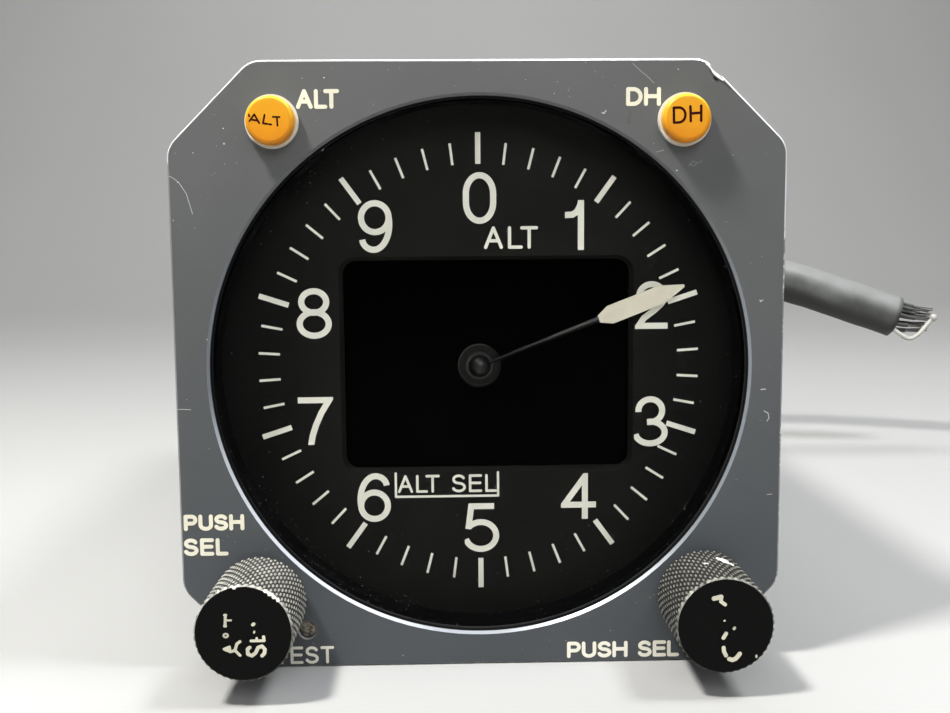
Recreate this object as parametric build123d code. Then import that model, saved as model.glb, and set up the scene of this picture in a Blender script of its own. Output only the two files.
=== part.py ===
from build123d import *
import math
import os

# A square panel instrument with a round dial, a display window behind one pointer,
# two lamps, two push and turn knobs, a test button and a short harness at the back.
# Millimetres. X is to the right seen from the front, +Y goes into the panel and +Z is up.
# The origin is on the pointer's axis, in the plane where the bezel seats on its panel.

# Clearances
run_gap = 0.05          # radial, a shaft in its bearing or bush
slide_gap = 0.10        # radial, a button or a pushed part in its bore
fit_gap = 0.10          # around a piece dropped into a pocket
screw_gap = 0.15        # radial, a screw in its clearance hole
tooth_gap = 0.12        # taken off each tooth's width, for backlash
air_gap = 0.30          # between parts that move past each other

# Bezel
bezel_size = 82.55      # across the flats, the standard three inch square instrument
bezel_depth = 9.5
corner_cut = 11.2       # off each corner, both ways
corner_blend = 3.6
edge_break = 0.25
rim_width = 4.925       # from a flat to the round opening, at the narrowest
bevel_width = 0.65      # of the opening's front edge
bevel_depth = 0.6
lip_width = 1.85        # lip that the glass rests behind
lip_depth = 0.5
lug_depth = 3.0         # corner lugs behind the panel seat
lug_bore_step = 0.7     # their bore, beyond the glass pocket
seat_width = 1.1        # ring of the rear face that meets the panel
rebate_depth = 0.5      # step that holds the front edge of the case
nick_radius = 1.6       # a knock on the front edge by the upper right corner
nick_depth = 0.6
nick_along = 2.15       # down the chamfer from its upper end

# Case
case_wall = 1.2
case_gap = 0.17         # between the case and the seat ring's inner edge
case_end = 119.0
rear_plate_thickness = 3.0

# Front stack, from the lip to the front plate
seal_thickness = 0.3
seal_width = 1.7
glass_thickness = 1.8
dial_depth = 7.0        # from the bezel's face to the dial's face
dial_thickness = 1.2
wall_width = 1.7        # black wall ring between the glass and the dial
backlight_thickness = 1.2
backlight_inset = 0.8
display_glass_thickness = 1.8
front_plate_thickness = 2.0

# Dial
mark_count = 50
marks_per_number = 5
minor_mark_length = 3.0
minor_mark_width = 0.35
major_mark_length = 4.35
major_mark_width = 0.74
minor_mark_inset = 6.58     # from the opening's edge to the middle of the mark
major_mark_inset = 5.98
mark_thickness = 0.06
window_width = 41.7
window_height = 30.8
window_offset = 1.1         # the window's centre, right of the pointer's axis
window_corner = 2.4
window_bevel = 0.55
display_overlap = 2.2       # how far the display reaches behind the window's edge

# Pointer and its shaft
pointer_reading = 68.9      # degrees clockwise from the top
boss_flange_radius = 3.05
boss_flange_thickness = 0.7
boss_flange_height = 1.2    # front of the flange above the dial
boss_lip_width = 0.35
boss_lip_height = 0.12
boss_tube_radius = 2.5
shaft_radius = 0.75
bearing_radius = 1.9
bearing_length = 2.0
hub_radius = 1.57
hub_base = 1.45             # height above the dial
hub_height = 1.55
blade_start = 1.25          # from the pointer's axis, inside the hub
blade_height = 1.95         # height of the blade above the dial
blade_rise = 0.30           # ridge along the blade
blade_root_width = 0.42
blade_tip_width = 0.76
lance_start = 17.95
lance_overlap = 0.2         # of the lance on the blade's end
lance_shoulder = 19.6
lance_taper = 27.4
lance_end = 30.75
lance_root_width = 0.80
lance_width = 2.6
lance_tip_width = 0.34
lance_thickness = 0.25

# Gears and motor
gear_module = 0.4
pressure_angle = 20
addendum = 0.9              # of the teeth, in modules
dedendum = 1.25
gear_teeth = 60
pinion_teeth = 12
gear_thickness = 1.5
pinion_thickness = 2.4
gear_inset = 1.5            # gap from the front plate to the gear
gear_hub_radius = 2.6
gear_hub_length = 1.2
gear_hole_radius = 2.6
gear_hole_pitch = 7.2
gear_hole_count = 6
gear_plate_thickness = 1.5
motor_radius = 9.0
motor_length = 14.0
motor_pilot_radius = 3.0
motor_shaft_radius = 1.0
motor_shaft_depth = 10.0

# Spacers, boards and guides
spacer_inset_x = 5.775      # from the flats of the bezel
spacer_inset_z = 16.775
spacer_radius = 2.25
stud_reach = 4.0            # of their studs into the bezel, in front of the panel seat
front_spacer_length = 5.0
motor_spacer_length = 17.5
board_thickness = 1.6
display_board_height = 60.0
bulkhead_front = 44.0
bulkhead_thickness = 2.0
bulkhead_opening = 30.0
side_board_x = 18.0
side_board_height = 58.0
guide_width = 5.0
guide_height = 4.0
guide_slot_depth = 2.5

# Board components: on the display board by x, z, width, height and thickness, and on the
# long boards by distance from the front edge, z, length, height and thickness
display_parts = [(-14, 12, 14, 14, 1.6), (10, 12, 10, 6, 2.0), (-12, -14, 8, 12, 1.4), (12, -12, 16, 10, 2.4)]
processor_parts = [(8, 12, 22, 20, 2.2), (36, 14, 14, 14, 1.8), (8, -14, 10, 16, 1.8), (24, -14, 26, 12, 3.0)]
power_parts = [(8, 10, 26, 22, 9.0), (8, -14, 14, 14, 7.0), (28, -14, 20, 12, 5.0)]
edge_connector_length = 8.0
edge_connector_height = 30.0
edge_connector_thickness = 4.5
edge_connector_setback = 2.0    # from the rear end of a long board

# Knobs: both turn, and both are pushed in
knob_inset_x = 10.775       # axis from the flats of the bezel
knob_inset_z = 9.825
knob_radius = 6.35
knob_reach = 13.15          # front of the knob above the bezel
knob_lift = 0.95            # gap from the bezel to the knob
knob_edge = 0.3
knob_push = 0.7
knob_pocket_radius = 4.6
knob_pocket_depth = 3.2
knob_bore_depth = 9.6
encoder_shaft_radius = 1.5
encoder_bush_radius = 2.9
encoder_bush_reach = 1.9    # bush beyond the bezel's face
encoder_shoulder = 4.5      # depth of the encoder's front shoulder in the bezel
encoder_radius = 3.75
encoder_length = 13.0
encoder_shaft_end = 2.0
encoder_plunger_length = 2.0
encoder_pin_radius = 0.4
encoder_pin_length = 2.5
encoder_pin_pitch = 2.0
nut_flats = 7.4
nut_thickness = 1.2
set_screw_radius = 0.9
set_screw_length = 4.3
set_screw_setback = 4.6     # from the knob's front face

# Lamps
lamp_inset_x = 14.025       # axis from the flats of the bezel
lamp_inset_z = 8.025
lamp_flange_radius = 3.5
lamp_flange_thickness = 0.8
lamp_barrel_radius = 2.6
lamp_barrel_end = 6.0
lamp_cap_radius = 3.17
lamp_cap_height = 1.8
lamp_cap_rounding = 0.55
lamp_stem_radius = 1.9
lamp_stem_length = 4.0
lamp_pin_radius = 0.35
lamp_pin_length = 2.5
lamp_pin_pitch = 1.27

# Test button
button_inset_x = 16.975     # axis from the flats of the bezel
button_inset_z = 5.275
button_radius = 1.05
button_recess = 0.45
button_collar_radius = 1.6
button_collar_thickness = 1.0
button_pocket_depth = 3.4
button_travel = 0.6
button_tip_radius = 0.6
button_rim = 0.22
switch_radius = 2.1
switch_front = 1.4          # depth of the switch below the collar's seat
switch_end = 5.0

# Rear connector, its plug and the angled backshell
connector_z = 12.0
flange_size = 26.0
flange_thickness = 2.2
flange_corner = 2.0
flange_screw_pitch = 20.0
receptacle_radius = 10.5
receptacle_length = 8.0
receptacle_wall = 1.2
receptacle_inner_length = 9.0
contact_radius = 0.5
contact_length = 5.0
contact_rings = 3
contact_pitch = 2.4
first_ring_contact_count = 6
nut_radius = 13.6
nut_length = 13.0
nut_ridges = 28
nut_ridge_depth = 0.5
nut_start = 1.0             # behind the flange
plug_length = 4.0
backshell_radius = 8.5
backshell_bend = 12.0
backshell_straight = 4.0
backshell_run = 6.0
clamp_length = 10.0
clamp_radius = 7.6
clamp_ear_height = 3.6
clamp_ear_reach = 11.2
clamp_split = 0.8
clamp_screw_offset = 9.3

# Screws
screw_radius = 1.25
screw_head_radius = 2.3
screw_head_height = 1.3
screw_slot_width = 0.6
screw_slot_depth = 0.6
small_screw_radius = 1.0
small_screw_head_radius = 1.8
small_screw_head_height = 1.0
small_screw_depth = 3.5

# Harness: its sleeve's middle line from the clamp to the cut end, with an arc at each corner
# that takes arc_share of the shorter run beside it
harness_radius = 6.0
arc_share = 0.45
harness_route = [
    (0.0, 0.0, 0.0),
    (16.5, 0.0, 0.0),
    (34.0, -0.6, -1.0),
    (53.0, -2.0, -2.6),
    (69.0, -4.1, -6.5),
    (83.5, -6.0, -11.7),
    (96.5, -7.6, -16.2),
]
wire_radius = 0.7
wire_count = 9
wire_ring_radius = 3.7
wire_straight = 3.0
wire_lengths = [9.5, 8.0, 10.5, 7.5, 9.0, 11.0, 8.5, 10.0, 7.0]
wire_rise = 0.30            # how far the cut wires lift at their ends, per millimetre
wire_gather = 0.8           # share of their spread that they keep at their ends
white_wire_points = [(0.0, 3.9, -3.5), (2.5, 3.9, -3.5), (6.6, 4.4, -4.5), (9.8, 4.9, 3.6)]

# Places worked out from the sizes above
face_y = -bezel_depth
bezel_half = bezel_size / 2
opening_radius = bezel_half - rim_width
bevel_radius = opening_radius + bevel_width
glass_pocket_radius = opening_radius + lip_width
glass_front = face_y + bevel_depth + lip_depth + seal_thickness
glass_back = glass_front + glass_thickness
dial_y = face_y + dial_depth
dial_back = dial_y + dial_thickness
carrier_back = lug_depth
display_back = dial_back + display_glass_thickness
backlight_back = display_back + backlight_thickness
plate_back = lug_depth + front_plate_thickness
gear_plate_front = plate_back + front_spacer_length
gear_plate_back = gear_plate_front + gear_plate_thickness
gear_front = plate_back + gear_inset
board_front = gear_plate_back + motor_spacer_length
board_back = board_front + board_thickness
bulkhead_back = bulkhead_front + bulkhead_thickness
rear_face = case_end + rear_plate_thickness
case_inset = seat_width + case_gap
lug_inset = case_inset + case_wall + fit_gap
knob_front = face_y - knob_reach
knob_back = face_y - knob_lift
gear_radius = gear_module * gear_teeth / 2
pinion_radius = gear_module * pinion_teeth / 2
gear_centres = gear_radius + pinion_radius
flange_back = rear_face + flange_thickness
receptacle_end = flange_back + receptacle_length
nut_front = flange_back + nut_start
plug_end = nut_front + nut_length
bend_start = plug_end + plug_length + backshell_straight
exit_y = bend_start + backshell_bend
clamp_start = backshell_bend + backshell_run
exit_x = clamp_start + clamp_length
spacer_x = bezel_half - spacer_inset_x
spacer_z = bezel_half - spacer_inset_z
lamp_x = bezel_half - lamp_inset_x
lamp_z = bezel_half - lamp_inset_z
knob_x = bezel_half - knob_inset_x
knob_z = knob_inset_z - bezel_half
button_x = button_inset_x - bezel_half
button_z = button_inset_z - bezel_half
flange_pitch = flange_screw_pitch / 2
signs = [(i, j) for i in (-1, 1) for j in (-1, 1)]
spacer_places = [(i * spacer_x, j * spacer_z) for i, j in signs]
flange_places = [(i * flange_pitch, connector_z + j * flange_pitch) for i, j in signs]
lamp_places = {"left": (-lamp_x, lamp_z), "right": (lamp_x, lamp_z)}
knob_places = {"left": (-knob_x, knob_z), "right": (knob_x, knob_z)}

os.makedirs("parts", exist_ok=True)


def save(shape, name):
    export_step(shape, "parts/" + name + ".step")
    return shape


def prism(sketch, y0, y1):
    """A sketch drawn as X and Z, extruded from y0 back to y1."""
    plane = Plane(origin=(0, y0, 0), x_dir=(1, 0, 0), z_dir=(0, -1, 0))
    return extrude(plane * sketch, amount=y1 - y0, dir=(0, 1, 0))


def disc(radius, y0, y1, x=0.0, z=0.0):
    return prism(Pos(x, z) * Circle(radius), y0, y1)


def ring(outer, inner, y0, y1, x=0.0, z=0.0):
    return prism(Pos(x, z) * (Circle(outer) - Circle(inner)), y0, y1)


def block(width, height, y0, y1, x=0.0, z=0.0):
    return prism(Pos(x, z) * Rectangle(width, height), y0, y1)


def turned(profile, x=0.0, z=0.0):
    """A piece turned about an axis along Y, from points given as radius and y."""
    face = make_face(Polyline([(r, y, 0) for r, y in profile], close=True))
    return Pos(x, 0, z) * revolve(face, Axis.Y)


def group(solids):
    return Compound(children=list(solids))


def bezel_outline(inset):
    """The chamfered square of the bezel, moved inwards by inset."""
    outline = Rectangle(bezel_size, bezel_size)
    outline = chamfer(outline.vertices(), corner_cut)
    if inset:
        outline = offset(outline, amount=-inset, kind=Kind.INTERSECTION)
    return fillet(outline.vertices(), max(corner_blend - inset, edge_break))


def gear_outline(teeth, spin):
    """Straight sided teeth whose flanks lean as the rack's do at the pitch circle."""
    pitch_radius = gear_module * teeth / 2
    half_pitch = (math.pi * gear_module / 2 - tooth_gap) / 2
    lean = math.tan(math.radians(pressure_angle)) * gear_module
    levels = [
        (pitch_radius - dedendum * gear_module, half_pitch + lean),
        (pitch_radius, half_pitch),
        (pitch_radius + addendum * gear_module, half_pitch - addendum * lean),
    ]
    points = []
    for index in range(teeth):
        middle = math.radians(spin + 360 * index / teeth)
        sides = [(r, -w) for r, w in levels] + [(r, w) for r, w in reversed(levels)]
        for radius, across in sides:
            angle = middle + across / radius
            points.append((radius * math.sin(angle), radius * math.cos(angle)))
    return make_face(Polyline(points, close=True))


def screw(x, z, y_seat, sign, radius, head_radius, head_height, depth):
    """A slotted pan head screw; sign says which way its head points along Y."""
    tip = y_seat - sign * depth
    top = y_seat + sign * head_height
    shank = disc(radius, min(tip, y_seat), max(tip, y_seat), x, z)
    head = disc(head_radius, min(y_seat, top), max(y_seat, top), x, z)
    slot_floor = top - sign * screw_slot_depth
    slot = block(2 * head_radius, screw_slot_width, min(slot_floor, top), max(slot_floor, top), x, z)
    return shank + head - slot


# Bezel: one machined piece with its opening, corner lugs, lamp, knob and button bores
def make_nick():
    """The dent that a knock left on the front edge, at the upper end of the right chamfer."""
    along = nick_along / math.sqrt(2)
    outwards = (nick_radius - nick_depth) / math.sqrt(2)
    x = bezel_half - corner_cut + along + outwards
    z = bezel_half - along + outwards
    return Pos(x, face_y, z) * Sphere(nick_radius)


def make_bezel():
    body = prism(bezel_outline(0), face_y, -rebate_depth)
    front_edges = body.faces().sort_by(Axis.Y)[0].edges()
    body = chamfer(front_edges, edge_break)
    seat = prism(bezel_outline(0) - bezel_outline(seat_width), -rebate_depth, 0)
    lugs = prism(bezel_outline(lug_inset), -rebate_depth, lug_depth)
    lugs -= disc(glass_pocket_radius + lug_bore_step, 0, lug_depth)
    body = body + seat + lugs
    lip_end = face_y + bevel_depth + lip_depth
    bore = [
        (0, face_y), (bevel_radius, face_y), (opening_radius, face_y + bevel_depth),
        (opening_radius, lip_end), (glass_pocket_radius, lip_end),
        (glass_pocket_radius, lug_depth), (0, lug_depth),
    ]
    body -= turned(bore)
    for x, z in lamp_places.values():
        body -= disc(lamp_barrel_radius + run_gap, face_y, lug_depth, x, z)
    for x, z in knob_places.values():
        body -= disc(encoder_bush_radius + run_gap, face_y, lug_depth, x, z)
        body -= disc(encoder_radius + fit_gap, face_y + encoder_shoulder, lug_depth, x, z)
    button_bore = button_radius + slide_gap
    rim_radius = button_bore + button_rim
    pocket_y = face_y + button_pocket_depth
    pocket_radius = switch_radius + fit_gap
    body -= turned([
        (0, face_y), (rim_radius, face_y), (button_bore, face_y + button_rim),
        (button_bore, pocket_y), (pocket_radius, pocket_y),
        (pocket_radius, lug_depth), (0, lug_depth),
    ], button_x, button_z)
    for x, z in spacer_places:
        body -= disc(screw_radius, -stud_reach - air_gap, lug_depth, x, z)
    return body - make_nick()


bezel = save(make_bezel(), "bezel")


# Glass, its seal and the black wall ring that holds it against the lip
pocket_fit = glass_pocket_radius - fit_gap
save(ring(pocket_fit, pocket_fit - seal_width, glass_front - seal_thickness, glass_front), "glass_seal")
save(disc(pocket_fit, glass_front, glass_back), "cover_glass")
save(ring(pocket_fit, pocket_fit - wall_width, glass_back, dial_y), "wall_ring")


# Dial: a disc with a bevelled window
def window_sketch(grow):
    corner = window_corner + grow
    shape = RectangleRounded(window_width + 2 * grow, window_height + 2 * grow, corner)
    return Pos(window_offset, 0) * shape


def make_dial():
    plate = disc(pocket_fit, dial_y, dial_back)
    plate -= prism(window_sketch(-window_bevel), dial_y, dial_back)
    front = Plane(origin=(0, dial_y, 0), x_dir=(1, 0, 0), z_dir=(0, -1, 0))
    floor = Plane(origin=(0, dial_y + window_bevel, 0), x_dir=(1, 0, 0), z_dir=(0, -1, 0))
    bevel = loft([front * window_sketch(0), floor * window_sketch(-window_bevel)])
    return plate - bevel


save(make_dial(), "dial_plate")


def make_marks():
    marks = []
    for index in range(mark_count):
        major = index % marks_per_number == 0
        length = major_mark_length if major else minor_mark_length
        width = major_mark_width if major else minor_mark_width
        radius = opening_radius - (major_mark_inset if major else minor_mark_inset)
        bar = Pos(0, radius) * Rectangle(width, length)
        turn = Rot(0, 0, -360 * index / mark_count)
        marks.append(prism(turn * bar, dial_y - mark_thickness, dial_y))
    return group(marks)


save(make_marks(), "dial_marks")


# Display: glass and backlight in the pockets of a round carrier
boss_hole = boss_tube_radius + run_gap
display_width = window_width - 2 * window_bevel + 2 * display_overlap
display_height = window_height - 2 * window_bevel + 2 * display_overlap
light_width = display_width - 2 * backlight_inset
light_height = display_height - 2 * backlight_inset


def panel(width, height, y0, y1, hole):
    sheet = block(width, height, y0, y1, window_offset)
    return sheet - disc(hole, y0, y1)


display_glass = panel(display_width, display_height, dial_back, display_back, boss_hole)
save(display_glass, "display_glass")
backlight = panel(light_width, light_height, display_back, backlight_back, boss_hole)
save(backlight, "backlight_panel")


def make_carrier():
    body = disc(pocket_fit, dial_back, carrier_back)
    gap = 2 * fit_gap
    body -= block(display_width + gap, display_height + gap, dial_back, display_back, window_offset)
    body -= block(light_width + gap, light_height + gap, display_back, backlight_back, window_offset)
    return body - disc(boss_hole, dial_back, carrier_back)


save(make_carrier(), "display_carrier")


# Shaft boss: the fixed bush in front of the display, with its two bearings and the pointer
boss_front = dial_y - boss_flange_height
boss_end = plate_back


def make_boss():
    lip_inner = boss_flange_radius - boss_lip_width
    flange_back_y = boss_front + boss_flange_thickness
    bore = bearing_radius + run_gap / 2
    waist = shaft_radius + air_gap
    return turned([
        (bore, boss_front + boss_lip_height), (lip_inner, boss_front + boss_lip_height),
        (lip_inner, boss_front), (boss_flange_radius, boss_front),
        (boss_flange_radius, flange_back_y), (boss_tube_radius, flange_back_y),
        (boss_tube_radius, boss_end), (bore, boss_end), (bore, boss_end - bearing_length),
        (waist, boss_end - bearing_length), (waist, bearing_back), (bore, bearing_back),
    ])


bearing_front = boss_front + boss_lip_height
bearing_back = bearing_front + bearing_length
save(make_boss(), "shaft_boss")
bearing_bore = shaft_radius + run_gap
save(ring(bearing_radius, bearing_bore, bearing_front, bearing_back), "front_bearing")
save(ring(bearing_radius, bearing_bore, boss_end - bearing_length, boss_end), "rear_bearing")

hub_front = dial_y - hub_base - hub_height
hub_back = dial_y - hub_base
gear_back = gear_front + gear_thickness
shaft_end = gear_back + gear_hub_length
shaft_front = hub_back - hub_height / 2


def hub_ball():
    """The rounded body whose front half is the hub's dome."""
    return Pos(0, hub_back, 0) * scale(Sphere(hub_radius), (1, hub_height / hub_radius, 1))


def make_hub():
    dome = hub_ball() & disc(2 * hub_radius, hub_front, hub_back)
    return dome - disc(shaft_radius, shaft_front, hub_back)


def make_pointer():
    """A ridged blade and a flat lance, drawn pointing up and then turned to the reading."""
    low = dial_y - blade_height

    def section(height_z, width):
        corners = [(-width / 2, low, height_z), (width / 2, low, height_z), (0, low - blade_rise, height_z)]
        return make_face(Polyline(corners, close=True))

    blade = loft([section(blade_start, blade_root_width), section(lance_start, blade_tip_width)])
    half_outline = [
        (lance_root_width / 2, lance_start - lance_overlap), (lance_width / 2, lance_shoulder),
        (lance_width / 2, lance_taper), (lance_tip_width / 2, lance_end),
    ]
    mirrored = [(-x, z) for x, z in reversed(half_outline)]
    lance = prism(make_face(Polyline(half_outline + mirrored, close=True)), low - lance_thickness, low)
    return Rot(0, pointer_reading, 0) * (blade + lance - hub_ball())


save(make_hub(), "pointer_hub")
save(make_pointer(), "pointer")
save(disc(shaft_radius, shaft_front, shaft_end), "pointer_shaft")


# Gear train behind the front plate
def make_gear():
    wheel = prism(gear_outline(gear_teeth, 0), gear_front, gear_back)
    wheel += disc(gear_hub_radius, gear_back, shaft_end)
    for index in range(gear_hole_count):
        angle = math.radians(360 * (index + 0.5) / gear_hole_count)
        x = gear_hole_pitch * math.sin(angle)
        z = gear_hole_pitch * math.cos(angle)
        wheel -= disc(gear_hole_radius, gear_front, gear_back, x, z)
    return wheel - disc(shaft_radius, gear_front, shaft_end)


save(make_gear(), "pointer_gear")
pinion_front = gear_front - (pinion_thickness - gear_thickness) / 2
pinion_back = pinion_front + pinion_thickness
pinion_outline = Pos(0, -gear_centres) * gear_outline(pinion_teeth, 180 / pinion_teeth)
pinion = prism(pinion_outline, pinion_front, pinion_back)
pinion -= disc(motor_shaft_radius, pinion_front, pinion_back, 0, -gear_centres)
save(pinion, "motor_pinion")
motor_shaft_end = gear_plate_back + motor_shaft_depth
motor_shaft = disc(motor_shaft_radius, pinion_front, motor_shaft_end, 0, -gear_centres)
save(motor_shaft, "motor_shaft")


def make_motor():
    body = disc(motor_radius, gear_plate_back, gear_plate_back + motor_length, 0, -gear_centres)
    body = chamfer(body.edges(), edge_break)
    body += disc(motor_pilot_radius, gear_plate_front, gear_plate_back + edge_break, 0, -gear_centres)
    bore_end = motor_shaft_end + air_gap
    return body - disc(motor_shaft_radius + run_gap, gear_plate_front, bore_end, 0, -gear_centres)


save(make_motor(), "motor_body")


# Plates across the case, each on the four spacers
plate_inset = lug_inset + fit_gap


def cross_plate(y0, y1, spacer_hole):
    plate = prism(bezel_outline(plate_inset), y0, y1)
    for x, z in spacer_places:
        plate -= disc(spacer_hole, y0, y1, x, z)
    return plate


def make_front_plate():
    plate = cross_plate(lug_depth, plate_back, screw_radius + screw_gap)
    plate -= disc(boss_hole, lug_depth, plate_back)
    for x, z in lamp_places.values():
        plate -= disc(lamp_barrel_radius + fit_gap, lug_depth, plate_back, x, z)
    for x, z in knob_places.values():
        plate -= disc(encoder_radius + fit_gap, lug_depth, plate_back, x, z)
    return plate - disc(switch_radius + fit_gap, lug_depth, plate_back, button_x, button_z)


def make_gear_plate():
    plate = cross_plate(gear_plate_front, gear_plate_back, screw_radius + screw_gap)
    plate -= disc(motor_pilot_radius + run_gap, gear_plate_front, gear_plate_back, 0, -gear_centres)
    for x, z in knob_places.values():
        plate -= disc(encoder_radius + air_gap, gear_plate_front, gear_plate_back, x, z)
    return plate


save(make_front_plate(), "front_plate")
save(make_gear_plate(), "gear_plate")


def spacers(y0, y1, stud):
    rods = []
    for x, z in spacer_places:
        rod = disc(spacer_radius, y0, y1, x, z)
        if stud:
            rod += disc(screw_radius - run_gap, y0 - stud, y0, x, z)
        rods.append(rod)
    return group(rods)


save(spacers(plate_back, gear_plate_front, plate_back + stud_reach), "front_spacers")
save(spacers(gear_plate_back, board_front, 0), "motor_spacers")
save(spacers(board_back, case_end, 0), "tie_rods")


def make_bulkhead():
    plate = cross_plate(bulkhead_front, bulkhead_back, spacer_radius + run_gap)
    return plate - block(bulkhead_opening, bulkhead_opening, bulkhead_front, bulkhead_back)


save(make_bulkhead(), "bulkhead")


# Circuit boards with their components, and the guides that hold the two long ones
def make_display_board():
    outline = bezel_outline(plate_inset) & Rectangle(bezel_size, display_board_height)
    board = prism(outline, board_front, board_back)
    for x, z, width, height, tall in display_parts:
        board += block(width, height, board_back, board_back + tall, x, z)
    return board


save(make_display_board(), "display_board")

guide_z = side_board_height / 2 - guide_slot_depth + fit_gap


def make_guides():
    rails = []
    for x in (-side_board_x, side_board_x):
        for sign in (-1, 1):
            middle = sign * (guide_z + guide_height / 2)
            rail = block(guide_width, guide_height, bulkhead_back, case_end, x, middle)
            slot = board_thickness + 2 * fit_gap
            slot_middle = sign * (guide_z + guide_slot_depth / 2)
            rail -= block(slot, guide_slot_depth, bulkhead_back, case_end, x, slot_middle)
            rails.append(rail)
    return group(rails)


save(make_guides(), "card_guides")


def make_side_board(sign, parts):
    x = sign * side_board_x
    front = bulkhead_back + fit_gap
    back = case_end - fit_gap
    board = block(board_thickness, side_board_height, front, back, x)
    inner = x - sign * board_thickness / 2
    connector_start = back - front - edge_connector_setback - edge_connector_length
    connector = (connector_start, 0, edge_connector_length, edge_connector_height, edge_connector_thickness)
    for along, z, length, height, tall in parts + [connector]:
        middle = inner - sign * tall / 2
        board += block(tall, height, front + along, front + along + length, middle, z)
    return board


save(make_side_board(-1, processor_parts), "processor_board")
save(make_side_board(1, power_parts), "power_board")


# Case sleeve and rear plate
def make_case():
    outer = bezel_outline(case_inset)
    inner = bezel_outline(case_inset + case_wall)
    return prism(outer - inner, -rebate_depth, case_end)


save(make_case(), "case")


def make_rear_plate():
    plate = prism(bezel_outline(case_inset), case_end, rear_face)
    plate = chamfer(plate.faces().sort_by(Axis.Y)[-1].edges(), edge_break)
    for x, z in spacer_places:
        plate -= disc(screw_radius + screw_gap, case_end, rear_face, x, z)
    plate -= disc(receptacle_radius - receptacle_wall + fit_gap, case_end, rear_face, 0, connector_z)
    for x, z in flange_places:
        plate -= disc(small_screw_radius, case_end, rear_face, x, z)
    return plate


save(make_rear_plate(), "rear_plate")
rear_screws = []
for x, z in spacer_places:
    screw_piece = screw(x, z, rear_face, 1, screw_radius, screw_head_radius, screw_head_height,
                        rear_plate_thickness)
    rear_screws.append(screw_piece)
save(group(rear_screws), "rear_screws")


# Rear connector
def make_receptacle():
    square = RectangleRounded(flange_size, flange_size, flange_corner)
    body = prism(Pos(0, connector_z) * square, rear_face, flange_back)
    inner = receptacle_radius - receptacle_wall
    start = case_end - receptacle_inner_length
    body += disc(inner, start, flange_back, 0, connector_z)
    body += ring(receptacle_radius, inner, flange_back, receptacle_end, 0, connector_z)
    for ring_index in range(contact_rings + 1):
        radius = ring_index * contact_pitch
        count = max(1, first_ring_contact_count * ring_index)
        for index in range(count):
            angle = 2 * math.pi * index / count
            x = radius * math.sin(angle)
            z = connector_z + radius * math.cos(angle)
            body += disc(contact_radius, start - contact_length, start, x, z)
    for x, z in flange_places:
        body -= disc(small_screw_radius + screw_gap, rear_face, flange_back, x, z)
    return body


save(make_receptacle(), "connector_receptacle")
flange_screws = []
for x, z in flange_places:
    screw_piece = screw(x, z, flange_back, 1, small_screw_radius - run_gap, small_screw_head_radius,
                        small_screw_head_height, small_screw_depth)
    flange_screws.append(screw_piece)
save(group(flange_screws), "receptacle_screws")


def make_coupling_nut():
    body = Circle(nut_radius)
    for index in range(nut_ridges):
        turn = Rot(0, 0, 360 * index / nut_ridges)
        body -= turn * (Pos(nut_radius, 0) * Circle(nut_ridge_depth))
    sleeve = prism(Pos(0, connector_z) * body, nut_front, plug_end)
    sleeve -= disc(receptacle_radius + fit_gap, nut_front, receptacle_end + fit_gap, 0, connector_z)
    return sleeve - disc(backshell_radius + fit_gap, nut_front, plug_end, 0, connector_z)


save(make_coupling_nut(), "coupling_nut")


def make_plug():
    inner = receptacle_radius - receptacle_wall - fit_gap
    body = disc(inner, flange_back, receptacle_end, 0, connector_z)
    body += disc(backshell_radius, receptacle_end, plug_end + plug_length, 0, connector_z)
    return body


save(make_plug(), "plug_shell")


def make_backshell():
    start = plug_end + plug_length
    path = Line((0, start, connector_z), (0, bend_start, connector_z))
    corner = (0, bend_start, connector_z)
    path += JernArc(corner, (0, 1, 0), backshell_bend, -90)
    path += Line((backshell_bend, exit_y, connector_z), (clamp_start, exit_y, connector_z))
    profile = Plane(origin=(0, start, connector_z), z_dir=(0, 1, 0)) * Circle(backshell_radius)
    return sweep(profile, path=path)


save(make_backshell(), "backshell")


def along_x(sketch, x0, x1):
    """A sketch drawn as Y and Z about the harness exit, extruded from x0 to x1."""
    plane = Plane(origin=(x0, exit_y, connector_z), x_dir=(0, 1, 0), z_dir=(1, 0, 0))
    return extrude(plane * sketch, amount=x1 - x0)


def make_clamp():
    round_part = Circle(clamp_radius)
    ears = Rectangle(2 * clamp_ear_reach, 2 * clamp_ear_height)
    body = along_x(round_part + ears, clamp_start, exit_x)
    slot_length = clamp_ear_reach - harness_radius
    for side in (-1, 1):
        middle = side * (clamp_ear_reach - slot_length / 2)
        slot = Pos(middle, 0) * Rectangle(slot_length, clamp_split)
        body -= along_x(slot, clamp_start, exit_x)
        hole = Pos((clamp_start + exit_x) / 2, exit_y + side * clamp_screw_offset, connector_z)
        body -= hole * Cylinder(small_screw_radius, 2 * clamp_ear_height)
    return body


save(make_clamp(), "cable_clamp")


def make_clamp_screws():
    pieces = []
    for side in (-1, 1):
        place = Pos((clamp_start + exit_x) / 2, exit_y + side * clamp_screw_offset, connector_z)
        shank_length = 2 * clamp_ear_height
        shank = Cylinder(small_screw_radius - run_gap, shank_length)
        head_middle = clamp_ear_height + small_screw_head_height / 2
        head = Pos(0, 0, head_middle) * Cylinder(small_screw_head_radius, small_screw_head_height)
        slot_middle = clamp_ear_height + small_screw_head_height - screw_slot_depth / 2
        slot = Pos(0, 0, slot_middle) * Box(2 * small_screw_head_radius, screw_slot_width, screw_slot_depth)
        pieces.append(place * (shank + head - slot))
    return group(pieces)


save(make_clamp_screws(), "clamp_screws")


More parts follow.
